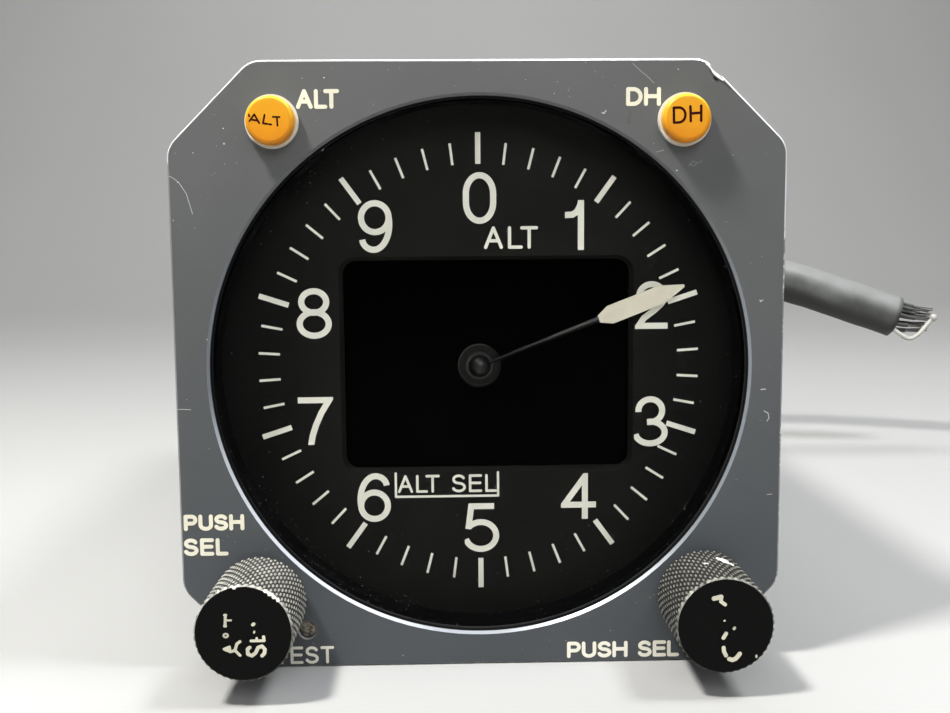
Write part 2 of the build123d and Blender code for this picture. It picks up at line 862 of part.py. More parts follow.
# Harness: a sleeved bundle that ends cut off, with its wires showing
def corner_radii(points):
    radii = []
    for before, corner, after in zip(points, points[1:], points[2:]):
        run_in = Vector(*corner) - Vector(*before)
        run_out = Vector(*after) - Vector(*corner)
        half_turn = math.radians(run_in.get_angle(run_out)) / 2
        shorter = min(run_in.length, run_out.length)
        radii.append(arc_share * shorter / math.tan(half_turn))
    return radii


def tube(points, radius):
    """A round tube along straight runs joined by tangent arcs."""
    path = FilletPolyline(points, radius=corner_radii(points))
    start = Vector(*points[0])
    profile = Plane(origin=start, z_dir=Vector(*points[1]) - start) * Circle(radius)
    solid = sweep(profile, path=path)
    return solid, path.length


route = [(exit_x + x, exit_y + y, connector_z + z) for x, y, z in harness_route]
harness, harness_length = tube(route, harness_radius)
save(harness, "harness_sleeve")
print("harness radii", [round(r, 1) for r in corner_radii(route)])
print("harness length", round(harness_length, 2))
print("harness volume ratio", round(harness.volume / (math.pi * harness_radius ** 2 * harness_length), 5))

cut_end = Vector(*route[-1])
cut_direction = (cut_end - Vector(*route[-2])).normalized()
cut_side = cut_direction.cross(Vector(0, 0, 1)).normalized()
cut_up = cut_side.cross(cut_direction)


def from_cut(along, side, up):
    place = cut_end + cut_direction * along + cut_side * side + cut_up * up
    return (place.X, place.Y, place.Z)


wires = []
for index, length in enumerate(wire_lengths[:wire_count]):
    angle = 2 * math.pi * index / wire_count
    side = wire_ring_radius * math.sin(angle)
    up = wire_ring_radius * math.cos(angle)
    reach = length - wire_straight
    wire_points = [from_cut(0, side, up), from_cut(wire_straight, side, up),
                   from_cut(length, wire_gather * side, up + wire_rise * reach)]
    wires.append(tube(wire_points, wire_radius)[0])
save(group(wires), "cut_wires")
white_points = [from_cut(*point) for point in white_wire_points]
save(tube(white_points, wire_radius)[0], "white_wire")


# Lamps: a barrel through the bezel and an amber cap
def make_lamp_body(x, z):
    flange_front = face_y - lamp_flange_thickness
    body = disc(lamp_flange_radius, flange_front, face_y, x, z)
    body += disc(lamp_barrel_radius, face_y, lamp_barrel_end, x, z)
    stem_end = flange_front + lamp_stem_length + fit_gap
    body -= disc(lamp_stem_radius + run_gap, flange_front, stem_end, x, z)
    for side in (-1, 1):
        pin_end = lamp_barrel_end + lamp_pin_length
        body += disc(lamp_pin_radius, lamp_barrel_end, pin_end, x + side * lamp_pin_pitch, z)
    return body


def make_lamp_cap(x, z):
    back = face_y - lamp_flange_thickness
    head = disc(lamp_cap_radius, back - lamp_cap_height, back, x, z)
    head = fillet(head.faces().sort_by(Axis.Y)[0].edges(), lamp_cap_rounding)
    return head + disc(lamp_stem_radius, back, back + lamp_stem_length, x, z)


# Push and turn controls: knob, shaft, set screw, encoder and the plunger behind the shaft
def make_knob(x, z):
    body = disc(knob_radius, knob_front, knob_back, x, z)
    body = chamfer(body.edges(), knob_edge)
    body -= disc(knob_pocket_radius, knob_back - knob_pocket_depth, knob_back, x, z)
    body -= disc(encoder_shaft_radius, knob_back - knob_bore_depth, knob_back, x, z)
    hole = Pos(x, knob_front + set_screw_setback, z - knob_radius / 2)
    return body - hole * Cylinder(set_screw_radius, knob_radius)


def make_set_screw(x, z):
    middle = encoder_shaft_radius + set_screw_length / 2
    place = Pos(x, knob_front + set_screw_setback, z - middle)
    return place * Cylinder(set_screw_radius - run_gap, set_screw_length)


def make_encoder(x, z):
    shoulder = face_y + encoder_shoulder
    end = shoulder + encoder_length
    body = disc(encoder_radius, shoulder, end, x, z)
    body += disc(encoder_bush_radius, face_y - encoder_bush_reach, shoulder, x, z)
    bore = encoder_shaft_radius + run_gap
    bore_end = encoder_shaft_end + encoder_plunger_length + knob_push + air_gap
    body -= disc(bore, face_y - encoder_bush_reach, bore_end, x, z)
    for side in (-1, 0, 1):
        pin_x = x + side * encoder_pin_pitch
        body += disc(encoder_pin_radius, end, end + encoder_pin_length, pin_x, z)
    return body


def make_encoder_nut(x, z):
    flats = Pos(x, z) * RegularPolygon(nut_flats / 2, 6, major_radius=False)
    nut = prism(flats, face_y - nut_thickness, face_y)
    return nut - disc(encoder_bush_radius + run_gap, face_y - nut_thickness, face_y, x, z)


for side, (x, z) in lamp_places.items():
    save(make_lamp_body(x, z), "lamp_body_" + side)
    save(make_lamp_cap(x, z), "lamp_cap_" + side)

for side, (x, z) in knob_places.items():
    shaft_tip = knob_back - knob_bore_depth
    plunger_end = encoder_shaft_end + encoder_plunger_length
    save(make_knob(x, z), "knob_" + side)
    save(make_set_screw(x, z), "set_screw_" + side)
    save(disc(encoder_shaft_radius, shaft_tip, encoder_shaft_end, x, z), "encoder_shaft_" + side)
    save(disc(encoder_shaft_radius, encoder_shaft_end, plunger_end, x, z), "push_plunger_" + side)
    save(make_encoder(x, z), "encoder_" + side)
save(group([make_encoder_nut(x, z) for x, z in knob_places.values()]), "encoder_nuts")


# Test button and the switch behind it
collar_y = face_y + button_pocket_depth
switch_y = collar_y + button_collar_thickness + switch_front


def make_button():
    rest = slide_gap / 2
    tip_end = switch_y - button_travel
    return turned([
        (0, face_y + button_recess), (button_radius, face_y + button_recess),
        (button_radius, collar_y + rest), (button_collar_radius, collar_y + rest),
        (button_collar_radius, collar_y + rest + button_collar_thickness),
        (button_tip_radius, collar_y + rest + button_collar_thickness),
        (button_tip_radius, tip_end), (0, tip_end),
    ], button_x, button_z)


save(make_button(), "test_button")
save(disc(switch_radius, switch_y, switch_end, button_x, button_z), "test_switch")
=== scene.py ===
import math
import random

import bmesh
import bpy
from bpy.props import FloatProperty, FloatVectorProperty, IntProperty, PointerProperty
from mathutils import Matrix, Vector, geometry, noise


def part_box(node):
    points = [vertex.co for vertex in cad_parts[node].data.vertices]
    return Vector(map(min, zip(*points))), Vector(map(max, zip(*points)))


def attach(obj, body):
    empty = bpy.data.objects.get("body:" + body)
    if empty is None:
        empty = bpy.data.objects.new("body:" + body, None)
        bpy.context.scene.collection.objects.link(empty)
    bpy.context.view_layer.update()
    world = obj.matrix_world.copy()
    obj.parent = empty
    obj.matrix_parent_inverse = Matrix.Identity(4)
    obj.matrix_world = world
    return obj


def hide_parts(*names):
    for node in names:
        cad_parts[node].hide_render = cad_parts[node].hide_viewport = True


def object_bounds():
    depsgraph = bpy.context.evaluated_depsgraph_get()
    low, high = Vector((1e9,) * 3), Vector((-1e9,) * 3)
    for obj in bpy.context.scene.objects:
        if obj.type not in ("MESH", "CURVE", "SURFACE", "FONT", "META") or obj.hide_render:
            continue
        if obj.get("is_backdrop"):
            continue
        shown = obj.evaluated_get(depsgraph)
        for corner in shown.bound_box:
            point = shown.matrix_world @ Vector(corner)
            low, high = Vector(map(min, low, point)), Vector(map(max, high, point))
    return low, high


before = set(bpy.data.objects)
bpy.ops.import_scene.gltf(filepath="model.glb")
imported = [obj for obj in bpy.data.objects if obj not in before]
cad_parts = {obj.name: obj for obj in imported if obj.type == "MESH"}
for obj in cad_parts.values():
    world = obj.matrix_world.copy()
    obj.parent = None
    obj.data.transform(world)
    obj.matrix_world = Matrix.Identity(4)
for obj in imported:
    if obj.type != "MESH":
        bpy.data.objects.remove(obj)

bl_info = {
    "name": "Air Data Display Indicator",
    "version": (1, 0, 0),
    "blender": (4, 5, 0),
    "location": "View3D > Sidebar > Indicator",
    "description": "Paint, print, glass, lamps, knurled knobs, harness and stage of the indicator",
    "category": "Object",
}

MM = 0.001
PHOTO_WIDTH = 950
# Printed strokes: the least share of a mitre that is kept, and the turn from which a joint counts as a corner
MITRE_LIMIT = 0.2
SHARP_TURN = math.radians(35)

# Faces and axes of the object, from the frame
BEZEL_LOW, BEZEL_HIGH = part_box("bezel")
FACE_Y = BEZEL_LOW.y
BEZEL_HALF = BEZEL_HIGH.x
DIAL_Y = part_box("dial_plate")[0].y
LAMP_LOW, LAMP_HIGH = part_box("lamp_cap_right")
LAMP_Y = LAMP_LOW.y
LAMP_X = (LAMP_LOW.x + LAMP_HIGH.x) / 2
LAMP_Z = (LAMP_LOW.z + LAMP_HIGH.z) / 2
LAMP_RADIUS = (LAMP_HIGH.x - LAMP_LOW.x) / 2
BEZEL_REACH = 2 * BEZEL_HALF - 11.2 * MM
OPENING_RADIUS = BEZEL_HALF - 4.925 * MM
BEVEL_RADIUS = OPENING_RADIUS + 0.65 * MM
BEVEL_DEPTH = 0.6 * MM
EDGE_BREAK = 0.24 * MM
# The knock in the bezel's edge at the upper right: its middle and how far its marks reach
NICK = Vector((32.3, -9.5, 40.46)) * MM
NICK_REACH = 1.75 * MM
LANCE_START = 17.95 * MM


# Shapes of the numerals and letters: each is a list of strokes in a box one wide and one high.
# A stroke's items are corners (x, z) and arcs (centre x, centre z, radius x, radius z, from, to).
GLYPHS = {
    "0": [[(1, 0.6), (0.5, 0.6, 0.5, 0.4, 0, 180), (0.5, 0.4, 0.5, 0.4, 180, 360), (1, 0.6)]],
    "1": [[(1, 0), (1, 1)], [(0, 0.735), (0.35, 0.74), (0.68, 0.80), (0.90, 0.92), (0.98, 1.0)]],
    "2": [[(0.5, 0.71, 0.47, 0.29, 185, -38), (0.60, 0.37), (0.22, 0.19), (0.02, 0), (1, 0)]],
    "3": [
        [(0.47, 0.745, 0.43, 0.255, 186, -90), (0.36, 0.49)],
        [(0.36, 0.49), (0.47, 0.255, 0.53, 0.245, 90, -172)],
    ],
    "4": [[(1, 0.285), (0, 0.285), (0.72, 1.0), (0.72, 0)]],
    "5": [
        [(0.93, 1), (0.13, 1), (0.02, 0.47)],
        [(0.02, 0.52), (0.46, 0.315, 0.54, 0.315, 130, -165)],
    ],
    "6": [
        [(0.98, 0.31), (0.5, 0.31, 0.48, 0.31, 0, 360)],
        [(0.55, 0.76, 0.40, 0.24, 5, 90), (0.55, 0.44, 0.55, 0.56, 90, 192)],
    ],
    "7": [[(0, 1), (0.97, 1), (0.70, 0.70), (0.50, 0.40), (0.38, 0.15), (0.34, 0)]],
    "8": [
        [(0.93, 0.76), (0.5, 0.76, 0.43, 0.24, 0, 360)],
        [(1, 0.265), (0.5, 0.265, 0.5, 0.265, 0, 360)],
    ],
    "9": [
        [(0.02, 0.69), (0.5, 0.69, 0.48, 0.31, 180, 540)],
        [(0.45, 0.24, 0.40, 0.24, 185, 270), (0.45, 0.56, 0.55, 0.56, -90, 12)],
    ],
    "A": [[(0, 0), (0.5, 1), (1, 0)], [(0.18, 0.34), (0.82, 0.34)]],
    "D": [[(0, 0.5), (0, 1), (0.42, 1), (0.42, 0.5, 0.58, 0.5, 90, -90), (0, 0), (0, 0.5)]],
    "E": [[(1, 1), (0, 1), (0, 0), (1, 0)], [(0, 0.52), (0.93, 0.52)]],
    "H": [[(0, 0), (0, 1)], [(1, 0), (1, 1)], [(0, 0.52), (1, 0.52)]],
    "L": [[(0, 1), (0, 0), (1, 0)]],
    "P": [[(0, 0), (0, 1), (0.55, 1), (0.6, 0.72, 0.4, 0.28, 90, -90), (0, 0.44)]],
    "S": [[(0.5, 0.76, 0.45, 0.24, 22, 250), (0.5, 0.255, 0.5, 0.255, 75, -160)]],
    "T": [[(0, 1), (1, 1)], [(0.5, 1), (0.5, 0)]],
    "U": [[(0, 1), (0.5, 0.32, 0.5, 0.32, 180, 360), (1, 1)]],
}
# Widths as a share of the height
LETTER_WIDTHS = {
    "A": 0.84, "D": 0.82, "E": 0.74, "H": 0.84, "L": 0.66, "P": 0.76, "S": 0.78, "T": 0.79, "U": 0.8,
}
WORD_SPACE = 0.5
T_OVER_L = 0.22

# Dial numerals: sign, centre x and z, width and height, in millimetres
NUMERALS = [
    ("0", 0.20, 23.47, 4.68, 7.17),
    ("1", 13.53, 19.61, 2.67, 6.96),
    ("2", 24.51, 8.26, 4.64, 6.77),
    ("3", 24.59, -8.48, 4.84, 7.35),
    ("4", 14.17, -19.25, 5.06, 6.71),
    ("5", 0.19, -23.70, 4.97, 7.18),
    ("6", -15.25, -19.07, 4.87, 7.12),
    ("7", -23.37, -7.83, 5.00, 6.86),
    ("8", -23.28, 7.51, 4.95, 7.15),
    ("9", -14.48, 19.62, 4.89, 7.33),
]
# Words: text, left, right, bottom, top, stroke and gap between letters as a share of the height
DIAL_WORDS = [
    ("ALT", 0.78, 8.40, 16.37, 19.52, 0.46, 0.22),
    ("ALT SEL", -11.85, 2.41, -18.45, -15.85, 0.37, 0.17),
]
DIAL_BOX = [(-12.14, -15.60), (-12.14, -19.0), (2.55, -19.0), (2.55, -15.60)]
DIAL_BOX_LINE = 0.33
BEZEL_WORDS = [
    ("ALT", -24.08, -18.38, 34.93, 37.48, 0.53, 0.07),
    ("DH", 19.54, 24.17, 35.09, 37.54, 0.53, 0.07),
    ("PUSH", -40.82, -32.57, -21.70, -19.44, 0.53, 0.06),
    ("SEL", -40.95, -34.86, -25.21, -22.77, 0.53, 0.09),
    ("T", -28.88, -27.04, -40.83, -38.34, 0.40, 0.11),
    ("EST", -26.75, -20.70, -40.83, -38.34, 0.40, 0.11),
    ("PUSH SEL", 11.76, 27.47, -40.64, -38.30, 0.50, 0.06),
]

# Engraved lettering of the lamp caps, from the lamp's axis, in millimetres
LAMP_STROKES = {"left": 0.25, "right": 0.34}
ENGRAVING_HEIGHT = 0.01
LAMP_LETTERS = {
    "left": [
        [(-2.50, -0.16), (-1.86, 0.70), (-1.25, -0.42)],
        [(-2.22, 0.02), (-1.50, -0.10)],
        [(-0.53, 0.62), (-0.76, -0.46), (-0.22, -0.53)],
        [(0.02, -0.57), (0.28, -0.61)],
        [(0.52, 0.36), (1.40, 0.33)],
        [(1.04, 0.33), (1.10, -0.76)],
        [(-2.56, 0.66), (-2.50, 0.44)],
    ],
    "right": [
        [(-1.90, 1.25), (-1.25, 1.27), (-1.22, 0.32, 0.86, 0.96, 88, -88), (-1.84, -0.66)],
        [(-1.90, 1.25), (-1.88, 0.75)],
        [(-1.87, 0.60), (-1.84, -0.66)],
        [(0.28, 1.40), (0.36, -0.48)],
        [(1.70, 1.49), (1.72, -0.44)],
        [(0.32, 0.50), (1.71, 0.60)],
    ],
}

# Flecks of paint left on the knobs' faces, from the knob's axis: strokes and their widths
KNOB_FLECKS = {
    "left": [
        ([(-2.14, 2.45), (-2.22, 1.02)], 0.36),
        ([(-2.20, 1.77), (-1.46, 1.76)], 0.24),
        ([(-2.18, -0.20, 0.27, 0.23, 0, 360)], 0.24),
        ([(-2.24, 2.45), (-2.08, 2.45)], 0.34),
        ([(-2.30, 1.04), (-2.14, 1.02)], 0.34),
        ([(-2.46, -1.96), (-1.76, -1.68)], 0.32),
        ([(-1.76, -1.68), (-1.68, -2.30), (-2.30, -2.04)], 0.34),
        ([(-0.42, -1.02), (-0.82, -1.31), (-1.08, -2.15), (-1.67, -2.32)], 0.38),
        ([(-1.08, -2.15), (-0.46, -2.82)], 0.36),
        ([(-2.12, -1.98), (-1.88, -1.92)], 0.34),
        ([(1.24, 1.14), (1.38, 1.24)], 0.42),
        ([(1.37, 0.11), (1.42, 0.26)], 0.22),
        ([(0.96, -0.95), (2.62, -0.95)], 0.36),
        ([(1.68, -0.93), (1.69, -0.60)], 0.30),
        ([(2.58, -0.89), (2.55, -0.46)], 0.40),
        (
            [(0.78, -1.80), (0.50, -2.0), (0.52, -2.66), (1.04, -2.88), (1.51, -2.49), (1.82, -1.84),
             (2.32, -1.66), (2.68, -2.09), (2.60, -2.60), (2.30, -2.90)],
            0.46,
        ),
    ],
    "right": [
        ([(-1.55, 3.60), (-0.66, 3.80)], 0.60),
        ([(-0.62, 3.78), (-0.66, 3.20), (-0.12, 2.78)], 0.46),
        ([(-0.20, 0.68), (-0.13, 0.68)], 0.22),
        ([(1.08, -0.38), (1.14, -0.30)], 0.40),
        ([(0.06, -1.0), (-0.26, -1.58)], 0.50),
        ([(-0.22, -2.86), (-0.16, -3.38), (0.10, -3.90)], 0.50),
        ([(0.52, -4.36), (0.92, -4.50), (1.37, -4.32), (1.86, -3.70)], 0.56),
        ([(4.0, -3.98), (4.0, -4.16)], 0.26),
    ],
}

FLECK_HEIGHT = 0.01
# Chips in the knobs' coat: angle from the top, reach from the axis, depth along Y and size
KNOB_CHIPS = {
    "left": [
        (-9, 6.05, -22.6, 0.24), (28, 6.15, -22.5, 0.26), (34, 6.2, -22.5, 0.34), (40, 6.2, -22.5, 0.30),
        (47, 6.25, -22.5, 0.24),
    ],
    "right": [
        (12, 6.3, -13.7, 0.40), (18, 6.3, -14.1, 0.66), (25, 6.3, -14.9, 0.58), (-9, 6.3, -16.1, 0.30),
        (17, 6.3, -14.9, 0.5), (11, 6.3, -14.3, 0.4),
    ],
}
# How far each knob's knurl is worn, from 0 to 1
KNOB_WEAR = {"left": 0.92, "right": 0.42}
KNOB_BORE = 1.5 * MM
RIM_STEP = 0.02 * MM
SET_SCREW_PLACE = 4.6 * MM
SET_SCREW_RADIUS = 0.9 * MM
SET_SCREW_REACH = 5.2 * MM

# Marks of the bezel's face, in millimetres: lines and their widths
SCRATCHES = [
    ([(-41.0, 26.3), (-40.46, 26.02), (-39.78, 25.47), (-38.85, 23.98), (-38.12, 21.35)], 0.07),
    ([(-41.1, -4.87), (-40.34, -4.86), (-39.27, -4.94)], 0.06),
    ([(38.32, -3.05), (38.94, -2.99)], 0.12),
    ([(38.79, -6.02), (39.35, -6.31), (39.5, -7.0), (39.23, -7.42)], 0.10),
    ([(39.45, -17.7), (40.14, -17.64)], 0.08),
    ([(37.94, 9.19), (38.01, 8.99), (38.34, 9.19)], 0.12),
    ([(16.35, 34.26), (16.61, 34.13), (16.88, 34.52)], 0.12),
]
RUBS = [
    ([(20.41, 40.6), (21.47, 39.62), (22.53, 38.76), (23.22, 38.07)], 0.10),
    ([(23.59, 29.05), (24.66, 29.31)], 0.10),
    ([(28.03, 27.18), (28.56, 27.84), (29.1, 27.57), (28.7, 27.18), (28.03, 27.45)], 0.07),
    ([(29.1, 27.57), (29.77, 27.83)], 0.07),
]
# Bare metal along the knock, made light as a painted highlight of its lit facet
BARE_LINES_AND_HIGHLIGHT = [
    ([(30.19, 40.54), (30.52, 40.28), (30.84, 39.79), (31.34, 39.16), (31.88, 38.77), (32.42, 38.42)], 0.22),
]
# Dark brown marks along the knock's lower side
KNOCK_DARK_MARKS = [
    ([(30.64, 39.81), (30.98, 39.12), (31.48, 38.54), (32.09, 38.28), (32.69, 37.95), (33.37, 37.3)], 0.22),
    ([(31.25, 38.65), (31.65, 38.32)], 0.40),
]
# Dark grey marks below the DH legend
DARK_GREY_MARKS = [
    ([(19.94, 34.6), (20.21, 34.04), (19.81, 33.39), (19.95, 32.87)], 0.30),
]
# Pale specks of the bezel: place and radius
SPECKS = [
    (-37.80, 29.32, 0.07), (-33.70, 32.48, 0.09), (-33.65, 30.49, 0.12), (-23.18, 38.91, 0.06),
    (-20.32, 38.95, 0.11), (-40.69, 20.49, 0.08), (-39.92, 25.49, 0.09), (-20.66, 29.63, 0.08),
    (26.40, 26.60, 0.09), (33.92, 28.59, 0.06), (-36.79, 4.58, 0.07),
]
SCRATCH_HEIGHT = 0.006
SPECK_HEIGHT = 0.012
SPECK_COUNT = 60
SPECK_SIZES = [0.03, 0.035, 0.04, 0.05]
CONTROL_CLEARANCE = 4.2

# Dust behind the glass: its reach from the dial's middle, and the display's middle and half sizes, which stay clear
DIAL_DUST_REACH = 33.5
DIAL_DUST_SIZES = SPECK_SIZES + [0.08]
DISPLAY_MIDDLE_X = 1.3
DISPLAY_HALF_X = 22.5
DISPLAY_HALF_Z = 16.5
# Dust on the glass: first and last angle from the top and number of specks, then its reach and sizes
GLASS_DUST = [(195, 245, 80), (300, 338, 36), (120, 180, 24), (0, 360, 40)]
GLASS_DUST_REACH = (33.4, 36.0)
GLASS_DUST_SIZES = [0.025, 0.03, 0.03, 0.04, 0.055]

# Harness: the sleeve's route from its exit and the wires at its cut end, in millimetres
HARNESS_EXIT = Vector((28.0, 158.2, 12.0)) * MM
HARNESS_ROUTE = [
    (0.0, 0.0, 0.0),
    (16.5, 0.0, 0.0),
    (34.0, -0.6, -1.0),
    (53.0, -2.0, -2.6),
    (69.0, -4.1, -6.5),
    (83.5, -6.0, -11.7),
    (96.5, -7.6, -16.2),
]
WHITE_WIRE = [
    (-2.5, 3.6, -3.2), (0.0, 3.9, -3.6), (2.8, 4.1, -4.7), (5.4, 4.4, -5.0), (7.0, 4.6, -2.8), (8.0, 4.7, 0.0),
    (9.0, 4.9, 3.0),
]
WIRE_LENGTHS = [9.5, 8.0, 10.2, 7.5, 9.0, 10.5, 8.5, 9.8, 7.0, 8.5, 9.5, 9.0, 8.0, 9.2]
OUTER_WIRES = 9
OUTER_WIRE_RING = 4.0
INNER_WIRE_RING = 1.9
STRANDS_PER_WIRE = 6
STRAND_RADIUS = 0.13 * MM
SLEEVE_SIDES = 48
SLEEVE_MOUTH = 3.0 * MM
WIRE_BUNDLES = 7

# Camera of the photograph's view
CAMERA_PLACE = Vector((-3.886, -150.936, 16.597)) * MM
CAMERA_RIGHT = Vector((0.999704, -0.022896, -0.008223))
CAMERA_UP = Vector((0.010542, 0.103088, 0.994616))
CAMERA_FOCAL_PIXELS = 1050.0
SENSOR_WIDTH = 36.0

# Floor and backdrop, in metres: ends, top, half width, radius and steps of the sweep between them
FLOOR_FRONT = -8.0
FLOOR_BACK = 1.6
FLOOR_TOP = 4.0
FLOOR_HALF = 8.0
SWEEP_RADIUS = 0.8
SWEEP_STEPS = 16
# Where the floor's glow sets in beside and before the object, and over what distance it grows
GLOW_ASIDE = 0.95
GLOW_AHEAD = 0.45
GLOW_GROWTH = 1.2
# Lights: name, setting that holds the power, place, size, colour and target
LIGHTS = [
    ("key_light", "key_power", (-0.19, -0.122, 0.395), 0.06, (1.0, 0.985, 0.95), (0, 0, 0)),
    ("side_light", "side_power", (0.30, -0.03, 0.52), 0.14, (0.96, 0.98, 1.0), (0.03, 0.04, 0)),
    ("fill_light", "fill_power", (0.10, -0.80, 0.55), 0.50, (0.97, 0.985, 1.0), (0, 0, 0)),
    ("backdrop_light", "backdrop_power", (0.0, 0.70, 1.50), 0.90, (1, 1, 1), (0, 1.6, 0.2)),
]

# Colours of wear, painted shade and highlights, and inner pieces, which no setting changes
GRIME = (0.085, 0.078, 0.066)
PAINT_SPECK = (0.55, 0.55, 0.51)
WINDOW_WALL = (0.005, 0.005, 0.005)
BEVEL_INNER_EDGE = (0.006, 0.006, 0.006)
RING_BLACK = (0.004, 0.004, 0.0045)
RING_DUST = (0.16, 0.15, 0.15)
BOSS_DARK = (0.0028, 0.0028, 0.0022)
BOSS_LIGHT = (0.0044, 0.0044, 0.0036)
# Painted shade in the ring about the boss's bore
BOSS_BORE_SHADE = (0.001, 0.001, 0.001)
BOSS_LIP_HIGHLIGHT = (0.035, 0.035, 0.03)
BLADE_BLACK = (0.010, 0.010, 0.010)
# Painted shade of the line where the caps' face meets their rounded edge
CAP_GROOVE_SHADE = (0.36, 0.12, 0.007)
CAP_SMUDGE = (0.34, 0.14, 0.02)
CHIP_CREAM = (0.72, 0.70, 0.62)
BUTTON_DARK = (0.035, 0.03, 0.022)
BUTTON_LIGHT = (0.21, 0.185, 0.14)
BUTTON_SHADE = (0.01, 0.01, 0.008)
BUTTON_LIT = (0.36, 0.34, 0.27)
CASE_BLACK = (0.022, 0.023, 0.024)
ALUMINIUM = (0.66, 0.67, 0.68)


class Finish:
    """A material whose nodes are added step by step to one shader."""

    def __init__(self, name, color, roughness=0.5, metallic=0.0, specular=0.5, coat=0.0):
        self.material = bpy.data.materials.new(name)
        self.material.use_nodes = True
        self.tree = self.material.node_tree
        self.shader = self.tree.nodes["Principled BSDF"]
        self.coordinates = None
        self.set("Base Color", (*color, 1.0) if not hasattr(color, "node") else color)
        self.set("Roughness", roughness)
        self.set("Metallic", metallic)
        self.set("Specular IOR Level", specular)
        if coat:
            self.set("Coat Weight", coat)
            self.set("Coat Roughness", 0.08)

    def put(self, socket, value):
        if isinstance(value, bpy.types.NodeSocket):
            self.tree.links.new(value, socket)
        elif getattr(socket, "type", "") == "RGBA" and len(value) == 3:
            socket.default_value = (*value, 1.0)
        else:
            socket.default_value = value

    def set(self, name, value):
        self.put(self.shader.inputs[name], value)

    def node(self, kind, inputs, output=0, **settings):
        node = self.tree.nodes.new(kind)
        for key, value in settings.items():
            setattr(node, key, value)
        for key, value in inputs.items():
            self.put(node.inputs[key], value)
        return node.outputs[output]

    def place(self):
        if self.coordinates is None:
            self.coordinates = self.tree.nodes.new("ShaderNodeTexCoord").outputs["Object"]
        return self.coordinates

    def axes(self):
        node = self.tree.nodes.new("ShaderNodeSeparateXYZ")
        self.tree.links.new(self.place(), node.inputs[0])
        return node.outputs

    def math(self, operation, *values):
        return self.node("ShaderNodeMath", dict(enumerate(values)), operation=operation)

    # Sums, differences, products and the larger of two values
    def plus(self, first, second):
        return self.math("ADD", first, second)

    def minus(self, first, second):
        return self.math("SUBTRACT", first, second)

    def times(self, first, second):
        return self.math("MULTIPLY", first, second)

    def most(self, first, second):
        return self.math("MAXIMUM", first, second)

    def around_zero(self, noise):
        """A noise whose mean is moved from a half to 0."""
        return self.minus(noise, 0.5)

    def noise(self, scale, detail=3.0, roughness=0.55, stretch=None):
        vector = self.place()
        if stretch:
            vector = self.node("ShaderNodeMapping", {"Vector": vector, "Scale": stretch})
        inputs = {"Vector": vector, "Scale": scale, "Detail": detail, "Roughness": roughness}
        return self.node("ShaderNodeTexNoise", inputs)

    def band(self, value, low, high):
        """0 where value is at low and 1 where it is at high, smooth between them."""
        inputs = {"Value": value, "From Min": low, "From Max": high}
        return self.node("ShaderNodeMapRange", inputs, interpolation_type="SMOOTHSTEP")

    def fit(self, value, low, high, to_low, to_high):
        inputs = {"Value": value, "From Min": low, "From Max": high, "To Min": to_low, "To Max": to_high}
        return self.node("ShaderNodeMapRange", inputs)

    def mix(self, factor, first, second):
        inputs = {0: factor, 6: first, 7: second}
        return self.node("ShaderNodeMix", inputs, output=2, data_type="RGBA")

    def radius_about(self, x, z, center_x=0.0, center_z=0.0):
        """Distance from an axis along Y."""
        across = self.minus(x, center_x)
        up = self.minus(z, center_z)
        square = self.plus(self.times(across, across), self.times(up, up))
        return self.math("SQRT", square)

    def bump(self, height, distance, strength=0.5):
        inputs = {"Height": height, "Distance": distance, "Strength": strength}
        self.set("Normal", self.node("ShaderNodeBump", inputs))

    def mottle(self, color, scale, amount, detail=3.0):
        """The colour, a little darker and lighter over the surface."""
        dark = [c * (1 - amount) for c in color]
        light = [min(1.0, c * (1 + amount)) for c in color]
        return self.mix(self.band(self.noise(scale, detail), 0.3, 0.7), dark, light)


def grained(name, color, roughness, grain=1500.0, height=0.02 * MM, amount=0.12, **facts):
    """A plain finish with a slight grain, and colour and gloss that vary a little."""
    finish = Finish(name, color, roughness, **facts)
    finish.set("Base Color", finish.mottle(color, grain / 12, amount))
    gloss = finish.fit(finish.noise(grain / 5), 0.3, 0.7, roughness * 0.88, min(1.0, roughness * 1.12))
    finish.set("Roughness", gloss)
    finish.bump(finish.noise(grain), height)
    return finish


def brushed(name, color, roughness, across, **facts):
    """Machined metal with fine tool marks that run across the given stretch."""
    finish = Finish(name, color, roughness, metallic=1.0, **facts)
    marks = finish.noise(400.0, 4.0, stretch=across)
    finish.set("Base Color", finish.mix(finish.band(marks, 0.25, 0.75), [c * 0.86 for c in color], color))
    finish.set("Roughness", finish.fit(marks, 0.25, 0.75, roughness * 0.8, roughness * 1.25))
    finish.bump(marks, 0.01 * MM)
    return finish


def dress(finish, *nodes):
    """Gives CAD nodes their material."""
    for name in nodes:
        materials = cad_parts[name].data.materials
        materials.clear()
        materials.append(finish.material)


def add_piece(name, mesh, finish, body, smooth=False):
    """A new object of the scene that rides on a body."""
    mesh.materials.append(finish.material)
    if smooth:
        mesh.shade_smooth()
    piece = bpy.data.objects.new(name, mesh)
    bpy.context.scene.collection.objects.link(piece)
    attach(piece, body)
    return piece


def mesh_of(made, name):
    """The mesh of a bmesh, which is freed."""
    mesh = bpy.data.meshes.new(name)
    made.to_mesh(mesh)
    made.free()
    return mesh


def box_middle(node):
    """The x and z of the middle of a CAD node's box."""
    low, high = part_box(node)
    return (low.x + high.x) / 2, (low.z + high.z) / 2


